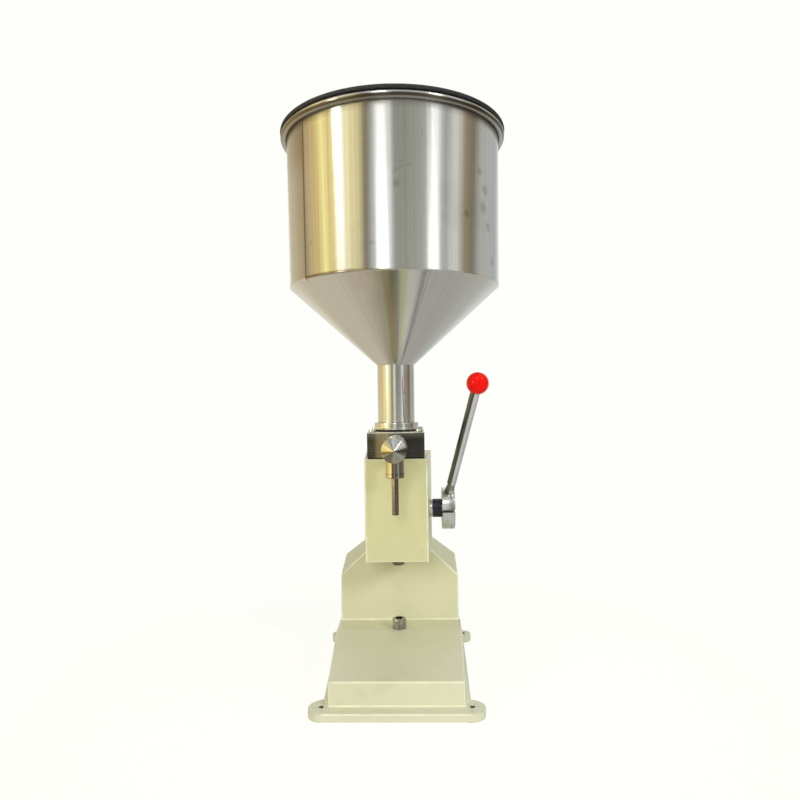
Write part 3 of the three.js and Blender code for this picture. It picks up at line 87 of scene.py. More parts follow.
def node(tree, kind, feeds=None, **settings):
    made = tree.nodes.new(kind)
    for key, value in settings.items():
        setattr(made, key, value)
    feed(tree, made, feeds or {})
    return made


def maths(tree, operation, *values):
    return node(tree, "ShaderNodeMath", dict(enumerate(values)), operation=operation).outputs[0]


def vectors(tree, operation, *values):
    made = node(tree, "ShaderNodeVectorMath", dict(enumerate(values)), operation=operation)
    return made.outputs["Value" if operation in ("LENGTH", "DISTANCE", "DOT_PRODUCT") else "Vector"]


def place_in(tree, kind="Object"):
    place = node(tree, "ShaderNodeTexCoord").outputs[kind]
    return place, *node(tree, "ShaderNodeSeparateXYZ", {0: place}).outputs


def graded(tree, value, low, high, start=0, end=1):
    return node(tree, "ShaderNodeMapRange", {"Value": value, "From Min": low, "From Max": high,
                                             "To Min": start, "To Max": end}, clamp=True).outputs[0]


def blended(tree, amount, first, second, strength=1.0, kind="MIX"):
    if strength != 1.0:
        amount = maths(tree, "MULTIPLY", amount, strength)
    return node(tree, "ShaderNodeMix", {"Factor": amount, "A": first, "B": second},
                data_type="RGBA", blend_type=kind).outputs["Result"]


def bands(tree, value, rows, smooth=False):
    made = node(tree, "ShaderNodeValToRGB", {0: value})
    made.color_ramp.interpolation = "EASE" if smooth else "LINEAR"
    band = made.color_ramp.elements
    while len(band) > 1:
        band.remove(band[-1])
    band[0].position, band[0].color = rows[0][0], (*rows[0][1], 1)
    for place, colour in rows[1:]:
        band.new(place).color = (*colour, 1)
    return made.outputs[0]


def round_from_front(tree, x, y):
    return maths(tree, "ARCTAN2", x, maths(tree, "MULTIPLY", y, -1))


def share_of_turn(tree, x, y):
    return maths(tree, "MULTIPLY_ADD", round_from_front(tree, x, y), 1 / (2 * math.pi), 0.5)


def either(tree, amount, first, second):
    return node(tree, "ShaderNodeMixShader", {0: amount, 1: first, 2: second}).outputs[0]


def cleared(made):
    made.use_nodes = True
    made.node_tree.nodes.clear()
    return made.node_tree


white = (0.991, 1.0, 0.956)
halfway = 0.497
halfway_glow = (1.12, 1.14, 1.09)
surround = bpy.data.worlds.new("surround")
bpy.context.scene.world = surround
tree = cleared(surround)
way, x, y, z = place_in(tree, "Generated")
share = share_of_turn(tree, x, y)
left_lean = graded(tree, share, 0.60, 0.52, 0, 0.085)
leaning = maths(tree, "MULTIPLY_ADD", left_lean, maths(tree, "ADD", z, -0.23), share)
left_walls = bands(tree, leaning, [
    (0.0, (1.3, 1.3, 1.2)), (0.04, (1.3, 1.3, 1.2)), (0.076, (0.80, 0.73, 0.55)),
    (0.156, (0.75, 0.61, 0.38)), (0.184, (0.64, 0.50, 0.29)), (0.211, (0.56, 0.43, 0.24)),
    (0.2295, (0.85, 0.66, 0.37)), (0.250, (0.95, 0.72, 0.33)), (0.269, (1.0, 0.74, 0.28)),
    (0.286, (1.35, 1.15, 0.47)), (0.299, (1.7, 1.5, 0.62)), (0.316, (1.2, 0.93, 0.34)),
    (0.335, (1.30, 1.06, 0.46)), (0.349, (1.4, 1.28, 0.72)), (0.364, (1.5, 1.42, 1.05)),
    (0.378, (1.5, 1.38, 0.9)), (0.3905, (1.4, 1.22, 0.58)), (0.403, (1.18, 1.02, 0.54)),
    (0.415, (1.22, 1.08, 0.58)), (0.427, (0.92, 0.78, 0.42)), (0.438, (0.28, 0.20, 0.10)),
    (0.4475, (0.26, 0.20, 0.12)), (0.454, (0.52, 0.50, 0.44)), (0.463, (0.85, 0.86, 0.82)),
    (0.473, (1.02, 1.04, 0.98)), (0.483, (1.18, 1.20, 1.15)), (0.490, (1.22, 1.24, 1.19)),
    (halfway, halfway_glow)])
right_walls = bands(tree, share, [
    (halfway, halfway_glow), (0.508, (0.46, 0.46, 0.40)), (0.540, (0.43, 0.43, 0.36)),
    (0.577, (0.51, 0.52, 0.45)), (0.598, (0.57, 0.58, 0.53)), (0.613, (0.95, 0.95, 0.91)),
    (0.625, (1.28, 1.31, 1.27)), (0.644, (1.22, 1.25, 1.22)), (0.659, (0.55, 0.57, 0.53)),
    (0.671, (0.62, 0.64, 0.60)), (0.689, (1.02, 1.04, 0.98)), (0.705, (1.05, 1.06, 0.97)),
    (0.718, (0.88, 0.86, 0.70)), (0.732, (0.46, 0.39, 0.26)), (0.750, (0.42, 0.34, 0.22)),
    (0.769, (0.27, 0.22, 0.14)), (0.784, (0.45, 0.43, 0.37)), (0.802, (0.66, 0.67, 0.61)),
    (0.8735, (0.66, 0.68, 0.64)), (0.906, (0.55, 0.60, 0.59)), (0.96, (1.0, 1.07, 1.06)),
    (1.0, (1.3, 1.3, 1.2))])
upper_walls = blended(tree, maths(tree, "GREATER_THAN", leaning, halfway), left_walls, right_walls)
near_floor = [
    (0.0, (1.0, 1.0, 0.95)), (0.06, (0.95, 0.92, 0.80)), (0.11, (0.88, 0.78, 0.55)),
    (0.19, (1.04, 0.84, 0.47)), (0.246, (1.07, 0.83, 0.37)), (0.285, (1.45, 1.22, 0.52)),
    (0.335, (1.50, 1.36, 0.66)), (0.376, (1.65, 1.55, 0.90)), (0.398, (1.30, 1.15, 0.62)),
    (0.420, (0.60, 0.52, 0.27)), (0.450, (0.42, 0.36, 0.21)), (0.468, (0.95, 0.95, 0.82)),
    (0.486, (1.15, 1.17, 1.0)), (0.503, (0.36, 0.37, 0.31)), (0.545, (0.33, 0.34, 0.27)),
    (0.586, (0.48, 0.50, 0.42)), (0.604, (1.05, 1.05, 1.0)), (0.628, (1.15, 1.15, 1.08)),
    (0.648, (0.40, 0.36, 0.30)), (0.70, (0.34, 0.27, 0.21)), (0.755, (0.22, 0.17, 0.11)),
    (0.79, (0.60, 0.56, 0.44)), (0.863, (0.56, 0.55, 0.46)), (0.93, (0.80, 0.82, 0.78)),
    (1.0, (1.0, 1.0, 0.95))]
lower_walls = bands(tree, share, near_floor)
whole_wall = blended(tree, graded(tree, z, 0.13, 0.19), lower_walls, upper_walls)
streaks = node(tree, "ShaderNodeTexNoise", {"W": leaning, "Scale": 110, "Detail": 3}, noise_dimensions="1D")
uneven = graded(tree, streaks.outputs["Fac"], 0.3, 0.7, 0.86, 1.10)
dimmed = node(tree, "ShaderNodeVectorMath", {0: whole_wall, "Scale": uneven}, operation="SCALE").outputs[0]
room = blended(tree, graded(tree, z, 0.50, 0.95), dimmed, (0.85, 0.85, 0.83))
for toward in ((-0.81, -0.55, 0.21), (-0.15, -0.73, 0.67), (0.56, -0.44, 0.70)):
    nearness = vectors(tree, "DOT_PRODUCT", way, Vector(toward).normalized())
    room = blended(tree, graded(tree, nearness, 0.993, 0.998), room, (14, 13.5, 12.5))
ray = node(tree, "ShaderNodeLightPath").outputs
mirrored = node(tree, "ShaderNodeBackground", {"Color": room, "Strength": 0.9}).outputs[0]
soft = node(tree, "ShaderNodeBackground", {"Color": (0.97, 0.98, 1.0), "Strength": 0.46}).outputs[0]
seen = node(tree, "ShaderNodeBackground", {"Color": white}).outputs[0]
unseen = either(tree, ray["Is Glossy Ray"], soft, mirrored)
node(tree, "ShaderNodeOutputWorld", {"Surface": either(tree, ray["Is Camera Ray"], unseen, seen)})

floor_paint = bpy.data.materials.new("pale_floor")
tree = cleared(floor_paint)
ray = node(tree, "ShaderNodeLightPath").outputs
glow = node(tree, "ShaderNodeEmission", {"Color": (0.74, 0.745, 0.845)}).outputs[0]
matt = node(tree, "ShaderNodeBsdfDiffuse", {"Color": (0.42, 0.42, 0.16)}).outputs[0]
lit = node(tree, "ShaderNodeAddShader", {0: glow, 1: matt}).outputs[0]
place, x, y, _ = place_in(tree)
share = share_of_turn(tree, x, y)
sheen = bands(tree, share, [
    (0.05, (0.58, 0.54, 0.40)), (0.16, (0.76, 0.68, 0.53)), (0.25, (0.74, 0.66, 0.50)),
    (0.31, (0.55, 0.49, 0.37)), (0.40, (0.50, 0.46, 0.36)), (0.52, (0.70, 0.68, 0.62)),
    (0.65, (0.72, 0.72, 0.67)), (0.70, (0.60, 0.59, 0.54)), (0.75, (0.51, 0.51, 0.47)),
    (0.82, (0.51, 0.49, 0.44)), (0.88, (0.59, 0.59, 0.53)), (0.95, (0.54, 0.59, 0.59))], smooth=True)
from_middle = vectors(tree, "LENGTH", place)
far = graded(tree, from_middle, 0.8, 1.5, 0, 0.85)
bench = blended(tree, far, sheen, bands(tree, share, near_floor))
plain = node(tree, "ShaderNodeEmission", {"Color": white}).outputs[0]
seen = either(tree, graded(tree, from_middle, 0.26, 0.5), lit, plain)
sheet = node(tree, "ShaderNodeBsdfDiffuse", {"Color": (0.80, 0.78, 0.74)}).outputs[0]
shining = node(tree, "ShaderNodeEmission", {"Color": bench}).outputs[0]
unseen = either(tree, ray["Is Glossy Ray"], sheet, shining)
node(tree, "ShaderNodeOutputMaterial", {"Surface": either(tree, ray["Is Camera Ray"], unseen, seen)})
floor_mesh = bpy.data.meshes.new("floor")
floor_mesh.from_pydata([(-6, -6, 0), (6, -6, 0), (6, 6, 0), (-6, 6, 0)], [], [(0, 1, 2, 3)])
floor_mesh.materials.append(floor_paint)
floor = bpy.data.objects.new("floor", floor_mesh)
floor.location.z = -0.2 * mm
bpy.context.scene.collection.objects.link(floor)


def lamp(name, place, aim, size, power, colour):
    light = bpy.data.lights.new(name, "AREA")
    light.size, light.energy, light.color = size, power, colour
    stand = bpy.data.objects.new(name, light)
    stand.location = place
    stand.rotation_euler = (Vector(aim) - Vector(place)).to_track_quat("-Z", "Y").to_euler()
    stand.visible_glossy = False
    bpy.context.scene.collection.objects.link(stand)


lamp("front_lamp", (-0.42, -2.10, 1.12), (0, 0, 0.2), 0.8, 15.3, (1.0, 0.98, 0.90))
lamp("right_lamp", (1.80, -1.55, 1.30), (0, 0, 0.15), 0.5, 25, (0.88, 0.96, 1.0))
lamp("left_lamp", (-1.81, -1.81, 0.60), (0, 0, 0.15), 0.5, 9, (1.0, 0.97, 0.86))
bpy.context.scene.view_settings.view_transform = "Standard"

# Base casting. One hollow iron casting: a wide foot bar with screw holes, a
# sloping front, a flat ledge and the column that carries the gear housing.
# It is filled, rubbed down and sprayed with cream enamel, thinner at its edges.
# Its bevelled edges and fillets are also painted lighter: worn enamel and a painted highlight.
def finished(name, mesh, body, material, slot, *stands_for):
    piece = bpy.data.objects.new(name, mesh)
    bpy.context.scene.collection.objects.link(piece)
    piece.data.materials.clear()
    piece.data.materials.append(material)
    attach(piece, body)
    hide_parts(*stands_for)
    return piece


def settled(bm, mesh):
    bm.to_mesh(mesh)
    bm.free()
    return mesh


def as_made(holder, name):
    bpy.context.view_layer.update()
    ready = holder.evaluated_get(bpy.context.evaluated_depsgraph_get())
    mesh = bpy.data.meshes.new_from_object(ready)
    mesh.name = name
    bpy.data.objects.remove(holder)
    return mesh


def shaped(name, mesh, kind, **settings):
    holder = bpy.data.objects.new(name, mesh)
    bpy.context.scene.collection.objects.link(holder)
    step = holder.modifiers.new(kind.lower(), kind)
    for key, value in settings.items():
        setattr(step, key, value)
    return as_made(holder, name)


def reopened(mesh):
    bm = bmesh.new()
    bm.from_mesh(mesh)
    return bm


def cad_copy(source, same_place, same_plane):
    bm = reopened(nodes[source].data)
    bmesh.ops.remove_doubles(bm, verts=bm.verts, dist=same_place * mm)
    bmesh.ops.dissolve_limit(bm, angle_limit=math.radians(same_plane), verts=bm.verts, edges=bm.edges)
    return bm


def rounded_casting(source, least_edge, width, steps, turn_over=18, round_ends=(), holes=()):
    bm = cad_copy(source, 0.01, 0.6)
    for x, y, radius in round_ends:
        middle = Vector((x, y)) * mm
        chords = [e for e in bm.edges if abs(e.verts[0].co.z - e.verts[1].co.z) < 0.01 * mm
                  and all(abs((v.co.xy - middle).length - radius * mm) < 0.02 * mm for v in e.verts)]
        arc = bmesh.ops.subdivide_edges(bm, edges=chords, cuts=7)
        for vert in (v for v in arc["geom_inner"] if isinstance(v, bmesh.types.BMVert)):
            vert.co.xy = middle + (vert.co.xy - middle).normalized() * radius * mm
    bmesh.ops.triangulate(bm, faces=[f for f in bm.faces if len(f.verts) > 4])
    corners = [e for e in bm.edges if len(e.link_faces) == 2 and e.calc_length() > least_edge * mm
               and e.calc_face_angle() > math.radians(turn_over)]
    thin_paint = bm.faces.layers.float.new("thin_paint")
    made = bmesh.ops.bevel(bm, geom=corners, offset=width * mm, offset_type="OFFSET", segments=steps,
                           profile=0.5, affect="EDGES", clamp_overlap=False)
    for face in made["faces"]:
        face[thin_paint] = 1
    drilled = bm.faces.layers.float.new("drilled")
    for face in bm.faces:
        face.smooth = True
        spot = face.calc_center_median().xy
        if any((spot - Vector((x, y)) * mm).length < (radius + 0.1) * mm for x, y, radius in holes):
            face[drilled] = 1
    for edge in bm.edges:
        softest = 33 if any(face[thin_paint] for face in edge.link_faces) else 5
        edge.smooth = len(edge.link_faces) == 2 and edge.calc_face_angle() < math.radians(softest)
    mesh = settled(bm, bpy.data.meshes.new(source + "_cast"))
    return shaped(source + "_fine", mesh, "WEIGHTED_NORMAL", keep_sharp=True, weight=90)


def wear(tree, scale, low, high, detail=6, offset=(0, 0, 0)):
    place = node(tree, "ShaderNodeTexCoord").outputs["Object"]
    shifted = node(tree, "ShaderNodeMapping", {"Vector": place, "Location": offset}).outputs[0]
    cloud = node(tree, "ShaderNodeTexNoise", {"Vector": shifted, "Scale": scale, "Detail": detail})
    return graded(tree, cloud.outputs["Fac"], low, high)


def ranged(tree, amount, low, high):
    return graded(tree, amount, 0, 1, low, high)


def bumped(tree, amount, depth, strength=1.0):
    return node(tree, "ShaderNodeBump", {"Height": amount, "Distance": depth * mm,
                                         "Strength": strength}).outputs[0]


def new_material(name, **sockets):
    made = bpy.data.materials.new(name)
    tree = cleared(made)
    shader = node(tree, "ShaderNodeBsdfPrincipled",
                  {socket.replace("_", " "): value for socket, value in sockets.items()})
    node(tree, "ShaderNodeOutputMaterial", {"Surface": shader.outputs[0]})
    return made, tree, shader


cream, tree, shader = new_material("cream_enamel", Metallic=0.0, IOR=1.5, Coat_Weight=0.25,
                                   Coat_Roughness=0.22)
# Painted light: the enamel is painted darker and more yellow high up, and paler and lighter towards the foot.
darker_upper_tone = blended(tree, wear(tree, 9, 0.38, 0.64), (0.60, 0.572, 0.292), (0.64, 0.612, 0.318))
paler_lower_tone = blended(tree, wear(tree, 9, 0.38, 0.64), (0.70, 0.682, 0.495), (0.74, 0.722, 0.53))
height_painted_light = blended(tree, graded(tree, place_in(tree)[3], 0.20, 0.0), darker_upper_tone, paler_lower_tone)
grimy = blended(tree, wear(tree, 26, 0.60, 0.74, offset=(3, 1, 7)), height_painted_light, (0.54, 0.50, 0.28), 0.35)
scuffed = blended(tree, wear(tree, 130, 0.70, 0.76, 3, offset=(1, 5, 2)), grimy, (0.46, 0.42, 0.27), 0.45)
# Bevel faces painted lighter: worn-through enamel on the edges, and a painted highlight on edges and fillets.
edges = node(tree, "ShaderNodeAttribute", attribute_name="thin_paint").outputs["Fac"]
edge_wear_and_highlight = maths(tree, "MULTIPLY", edges, ranged(tree, wear(tree, 60, 0.35, 0.6), 0.45, 0.95))
painted = blended(tree, edge_wear_and_highlight, scuffed, (0.88, 0.86, 0.62))
# Hole walls painted near black: bare drilled iron, darkened further as painted shade inside the holes.
dark_hole_walls = node(tree, "ShaderNodeAttribute", attribute_name="drilled").outputs["Fac"]
feed(tree, shader, {"Base Color": blended(tree, dark_hole_walls, painted, (0.15, 0.135, 0.10)),
                    "Roughness": ranged(tree, wear(tree, 40, 0.3, 0.7), 0.30, 0.46),
                    "Normal": bumped(tree, wear(tree, 420, 0.25, 0.75, 3), 0.05, 0.5)})

foot_line, ear_line, hole_radius = -135.8, 96, 3.3
foot_ends = [(x, foot_line, 17.8) for x in (-87.4, 87.4)]
ear_ends = [(x, ear_line, 13) for x in (-93.5, 93.5)]
holes = [(x, foot_line, hole_radius) for x in (-89.7, 89.7)]
holes += [(x, ear_line, hole_radius) for x in (-95, 95)]
casting = rounded_casting("base_casting", 4.4, 1.5, 3, round_ends=foot_ends + ear_ends, holes=holes)
finished("base", casting, "frame", cream, "cream_paint", "base_casting")

# Gear housing and its rear cover. A tapered cream box, bolted on the column,
# closed at the back by a plate with four screws.
finished("housing", rounded_casting("gear_housing", 6, 0.9, 3), "frame", cream, "cream_paint", "gear_housing")
finished("rear_cover", rounded_casting("housing_rear_cover", 1.5, 0.5, 2), "frame", cream, "cream_paint",
         "housing_rear_cover")

# Turned steel, used from here on. Every round piece is turned on a lathe, so
# its tool marks run round its own axis and smear what it mirrors across them.
def lathe_grain(tree, axis, centre, lines):
    place = node(tree, "ShaderNodeTexCoord").outputs["Object"]
    offset = vectors(tree, "SUBTRACT", place, Vector(centre) * mm)
    parts = node(tree, "ShaderNodeSeparateXYZ", {0: offset}).outputs
    first, second = [s for s in "XYZ" if s != axis]
    flat = node(tree, "ShaderNodeCombineXYZ", {0: parts[first], 1: parts[second]}).outputs[0]
    ring = node(tree, "ShaderNodeCombineXYZ", {0: vectors(tree, "LENGTH", flat), 1: parts[axis]}).outputs[0]
    close = node(tree, "ShaderNodeVectorMath", {0: ring, "Scale": lines}, operation="SCALE").outputs[0]
    drift = vectors(tree, "MULTIPLY_ADD", offset, (14, 14, 14), close)
    marks = node(tree, "ShaderNodeTexNoise", {"Vector": drift, "Scale": 1, "Detail": 4, "Roughness": 0.65})
    return marks.outputs["Fac"]


def smeared(tree, shader, axis, amount):
    along = node(tree, "ShaderNodeTangent", direction_type="RADIAL", axis=axis).outputs[0]
    feed(tree, shader, {"Anisotropic": amount, "Anisotropic Rotation": 0.25, "Tangent": along})


def turned_steel(name, dark, light, rough, axis="Z", centre=(0, 0, 0), lines=900, smear=0.0, depth=0.004):
    made, tree, shader = new_material(name, Metallic=1.0)
    marks = lathe_grain(tree, axis, centre, lines)
    grain = graded(tree, marks, 0.3, 0.7)
    toned = blended(tree, grain, dark, light)
    marked_tone = blended(tree, wear(tree, 34, 0.55, 0.75, 4), toned, tuple(0.8 * c for c in dark), 0.5)
    feed(tree, shader, {"Base Color": marked_tone, "Normal": bumped(tree, marks, depth, 0.6),
                        "Roughness": ranged(tree, grain, rough * 0.85, rough * 1.15)})
    if smear:
        smeared(tree, shader, axis, smear)
    return made


# Screws. Steel socket screws, with low or full heads, hold the cover, the
# housing and the valve block. Each four are made once and set in their places.
screw_steel = turned_steel("screw_steel", (0.42, 0.42, 0.41), (0.66, 0.66, 0.65), 0.26, lines=700)
bright_screw = turned_steel("bright_screw_steel", (0.50, 0.50, 0.48), (0.76, 0.75, 0.73), 0.2, lines=600)
dark_screw = turned_steel("dark_screw_steel", (0.13, 0.125, 0.12), (0.22, 0.21, 0.2), 0.34, lines=700)


def crease(bm, degrees=33):
    for edge in bm.edges:
        edge.smooth = len(edge.link_faces) == 2 and edge.calc_face_angle() < math.radians(degrees)
    for face in bm.faces:
        face.smooth = True


def traced(name, source, body, material, slot):
    bm = cad_copy(source, 0.005, 0.4)
    bmesh.ops.triangulate(bm, faces=[f for f in bm.faces if len(f.verts) > 4])
    crease(bm, 38)
    mesh = settled(bm, bpy.data.meshes.new(name))
    return finished(name, mesh, body, material, slot, source)


def ring_of(bm, facets, radius, place):
    count = 1 if radius < 1e-6 else facets
    angles = [2 * math.pi * k / facets for k in range(count)]
    return [bm.verts.new((radius * mm * math.cos(a), radius * mm * math.sin(a), place * mm)) for a in angles]


def skinned(bm, rows, facets):
    for low, high in zip(rows, rows[1:]):
        for k in range(facets):
            n = (k + 1) % facets
            ring = [low[k % len(low)], low[n % len(low)], high[n % len(high)], high[k % len(high)]]
            ring = [v for i, v in enumerate(ring) if v not in ring[:i]]
            if len(ring) > 2:
                bm.faces.new(ring)
    bmesh.ops.recalc_face_normals(bm, faces=bm.faces)
    crease(bm)


def socket_head(name, head, height, shank, length, socket, depth):
    bm = bmesh.new()
    facets, side = 36, math.pi / 3
    edge = 0.12 * head
    rows = [ring_of(bm, facets, *point) for point in (
        (socket, height), (head - edge, height), (head - edge * 0.3, height - edge * 0.3),
        (head, height - edge), (head, 0), (shank, 0), (shank, -length + 0.8), (shank - 0.8, -length),
        (0, -length))]
    for k, vert in enumerate(rows[0]):
        angle = 2 * math.pi * k / facets
        vert.co.xy = vert.co.xy * math.cos(side / 2) / math.cos(angle % side - side / 2)
    well = [bm.verts.new((v.co.x, v.co.y, (height - depth) * mm)) for v in rows[0]]
    bm.faces.new(well)
    skinned(bm, [well, *rows], facets)
    return settled(bm, bpy.data.meshes.new(name))


def named_tree(name, inputs):
    tree = bpy.data.node_groups.new(name, "GeometryNodeTree")
    for title, kind in inputs.items():
        tree.interface.new_socket(title, in_out="INPUT", socket_type="NodeSocket" + kind)
    tree.interface.new_socket("Made", in_out="OUTPUT", socket_type="NodeSocketGeometry")
    return tree, node(tree, "NodeGroupInput").outputs


def grown(name, mesh, tree, shape, material, values):
    real = node(tree, "GeometryNodeRealizeInstances", {0: shape}).outputs[0]
    dressed = node(tree, "GeometryNodeSetMaterial", {"Geometry": real, "Material": material}).outputs[0]
    node(tree, "NodeGroupOutput", {"Made": dressed})
    holder = bpy.data.objects.new(name, mesh)
    bpy.context.scene.collection.objects.link(holder)
    step = holder.modifiers.new("steps", "NODES")
    step.node_group = tree
    for item in tree.interface.items_tree:
        if item.name in values:
            step[item.identifier] = values[item.name]
    return as_made(holder, name)


def set_in_places(name, pattern, places, turned_by, material):
    seats = bpy.data.meshes.new(name + "_places")
    seats.from_pydata([tuple(c * mm for c in p) for p in places], [], [])
    screw = bpy.data.objects.new(name + "_pattern", pattern)
    bpy.context.scene.collection.objects.link(screw)
    tree, given = named_tree(name + "_set", {"Places": "Geometry", "Screw": "Object", "Turned by": "Vector"})
    one = node(tree, "GeometryNodeObjectInfo", {"Object": given["Screw"]}).outputs["Geometry"]
    put = node(tree, "GeometryNodeInstanceOnPoints",
               {"Points": given["Places"], "Instance": one, "Rotation": given["Turned by"]}).outputs[0]
    mesh = grown(name, seats, tree, put, material, {"Screw": screw, "Turned by": turned_by})
    bpy.data.objects.remove(screw)
    return mesh


for kind, head, axis, end, turned_by, metal, slot in (
        ("block_bolt", (5.1, 3.2, 2.9, 52.8, 2.3, 2.0), 2, 1, (0, 0, 0), bright_screw, "dark_steel"),
        ("housing_bolt", (6.4, 7.9, 3.9, 12.0, 3.2, 4.5), 2, 0, (math.pi, 0, 0), screw_steel, "steel"),
        ("cover_screw", (3.9, 2.3, 1.9, 6.8, 1.7, 1.3), 1, 1, (-math.pi / 2, 0, 0), screw_steel, "steel")):
    sources = [f"{kind}_{k}" for k in (1, 2, 3, 4)]
    seats = []
    for box in map(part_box, sources):
        seat = (box[0] + box[1]) / 2 / mm
        seat[axis] = box[end][axis] / mm + (-head[1] if end else head[1])
        seats.append(seat)
    four = set_in_places(kind + "s", socket_head(kind, *head), seats, turned_by, metal)
    finished(kind + "s", four, "frame", metal, slot, *sources)
traced("guide_screw", "guide_set_screw", "frame", dark_screw, "dark_steel")

# Stop screw. A steel screw with a knurled head and a hexagon socket, standing
# in the ledge below the piston rod. Turning it up shortens the stroke.
knurled_steel = turned_steel("knurled_steel", (0.22, 0.21, 0.19), (0.60, 0.59, 0.56), 0.20, lines=500)


def ends(source, axis="z"):
    return [getattr(corner, axis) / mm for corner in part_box(source)]


def knurled_head(core, head_radius, ridges, low, high, ridge):
    tree, given = named_tree("stop_knurl", {
        "Core": "Geometry", "Head radius": "Float", "Ridges": "Int", "Knurl foot": "Float",
        "Knurl height": "Float", "Ridge width": "Float"})
    circle = node(tree, "GeometryNodeMeshCircle",
                  {"Vertices": given["Ridges"], "Radius": given["Head radius"]}).outputs[0]
    where = node(tree, "GeometryNodeInputPosition").outputs[0]
    x, y = node(tree, "ShaderNodeSeparateXYZ", {0: where}).outputs[:2]
    spin = node(tree, "ShaderNodeCombineXYZ", {"Z": maths(tree, "ARCTAN2", y, x)}).outputs[0]
    width = given["Ridge width"]
    size = node(tree, "ShaderNodeCombineXYZ", {"X": width, "Y": width, "Z": given["Knurl height"]}).outputs[0]
    block = node(tree, "GeometryNodeMeshCube", {"Size": size}).outputs["Mesh"]
    diamond = node(tree, "GeometryNodeTransform",
                   {"Geometry": block, "Rotation": (0, 0, math.pi / 4)}).outputs[0]
    put = node(tree, "GeometryNodeInstanceOnPoints",
               {"Points": circle, "Instance": diamond, "Rotation": spin}).outputs[0]
    rise = node(tree, "ShaderNodeCombineXYZ", {"Z": given["Knurl foot"]}).outputs[0]
    lifted = node(tree, "GeometryNodeTransform", {"Geometry": put, "Translation": rise}).outputs[0]
    both = node(tree, "GeometryNodeJoinGeometry", {0: given["Core"]})
    feed(tree, both, {0: lifted})
    return grown("stop_screw", core, tree, both.outputs[0], knurled_steel, {
        "Head radius": head_radius * mm, "Ridges": ridges, "Knurl foot": (low + high) / 2 * mm,
        "Knurl height": (high - low) * mm, "Ridge width": ridge * mm})


stop_top, stop_head = ends("stop_screw")[1], 13.7
core = socket_head("stop_core", 9.2, stop_head, 6.0, 47.9, 5.8, 7.0)
core.transform(Matrix.Translation((0, 0, (stop_top - stop_head) * mm)))
finished("stop", knurled_head(core, 9.1, 40, stop_top - 12.4, stop_top - 1.3, 0.72), "stop", knurled_steel,
         "steel", "stop_screw")

# Piston, rod, cylinder and bush. The rod is a bright ground bar with a rack
# cut in its front, running in a bronze bush; only its lower end shows.
def opened(metal):
    tree = metal.node_tree
    shader = tree.nodes["Principled BSDF"]
    return tree, shader, shader.inputs["Base Color"].links[0].from_socket


def moulded(name, dark, light, cloud, grit, depth, strength, rough=None, **sockets):
    made, tree, shader = new_material(name, **sockets)
    feed(tree, shader, {"Base Color": blended(tree, wear(tree, cloud, 0.4, 0.65), dark, light),
                        "Normal": bumped(tree, wear(tree, grit, 0.3, 0.7, 2), depth, strength)})
    if rough:
        scale, low, high, smoothest, roughest = rough
        feed(tree, shader, {"Roughness": ranged(tree, wear(tree, scale, low, high), smoothest, roughest)})
    return made


ground_bar = turned_steel("ground_bar", (0.50, 0.49, 0.47), (0.66, 0.65, 0.63), 0.16, lines=500)
honed = turned_steel("honed_steel", (0.56, 0.56, 0.55), (0.72, 0.72, 0.71), 0.2, lines=900, smear=0.6)
bronze = turned_steel("bush_bronze", (0.40, 0.25, 0.10), (0.56, 0.37, 0.16), 0.32, lines=700)
tree, shader, bright = opened(ground_bar)
rod_foot = ends("piston_rod")[0]
# The rod's lowest few millimetres are painted dark brown.
dark_rod_end = graded(tree, place_in(tree)[3], (rod_foot + 12) * mm, (rod_foot + 5) * mm)
feed(tree, shader, {"Base Color": blended(tree, dark_rod_end, bright, (0.20, 0.16, 0.10))})
rubber = moulded("seal_rubber", (0.014, 0.014, 0.016), (0.03, 0.03, 0.032), 300, 900, 0.03, 0.4,
                 Roughness=0.62)
traced("rod", "piston_rod", "piston_assembly", ground_bar, "chrome_steel")
traced("piston_head", "piston", "piston_assembly", honed, "steel")
for k in (1, 2):
    traced(f"seal_ring_{k}", f"piston_ring_{k}", "piston_assembly", rubber, "black_rubber")
traced("barrel", "cylinder", "frame", honed, "steel")
traced("rod_bush", "rod_guide_bush", "frame", bronze, "bronze")

# Valve block. A ground block of stainless steel with sharp, lightly broken
# edges, in which the inlet valve and the outlet meet above the cylinder.
def between(tree, value, low, low_full, high_full, high):
    return maths(tree, "MULTIPLY", graded(tree, value, low, low_full), graded(tree, value, high, high_full))


ground_block, tree, shader = new_material("ground_block", Metallic=1.0, Anisotropic=0.4)
place, x, _, z = place_in(tree)
stretched = node(tree, "ShaderNodeMapping", {"Vector": place, "Scale": (14, 14, 1100)}).outputs[0]
strokes = node(tree, "ShaderNodeTexNoise", {"Vector": stretched, "Scale": 1, "Detail": 4}).outputs["Fac"]
# Painted reflection: the block is painted dark, with a gold band left of centre, as the room it mirrors; its
# upper edge and top face are painted lighter as a painted highlight.
toned = blended(tree, wear(tree, 30, 0.40, 0.62), (0.10, 0.085, 0.07), (0.19, 0.165, 0.135))
painted_reflection_bands = bands(tree, graded(tree, x, -38 * mm, 38 * mm), [
    (0.0, (0.06, 0.05, 0.034)), (0.10, (0.07, 0.06, 0.038)), (0.20, (0.34, 0.27, 0.15)),
    (0.34, (0.40, 0.32, 0.18)), (0.45, (0.12, 0.11, 0.085)), (0.70, (0.062, 0.060, 0.056)),
    (0.88, (0.052, 0.050, 0.050)), (1.0, (0.066, 0.062, 0.058))], smooth=True)
marked_tone = blended(tree, strokes, toned, painted_reflection_bands, 1.6)
block_top = ends("valve_block")[1]
painted_top_highlight = graded(tree, z, (block_top - 9) * mm, (block_top - 1) * mm, 0, 0.35)
top_highlighted = blended(tree, painted_top_highlight, marked_tone, (0.45, 0.43, 0.38))
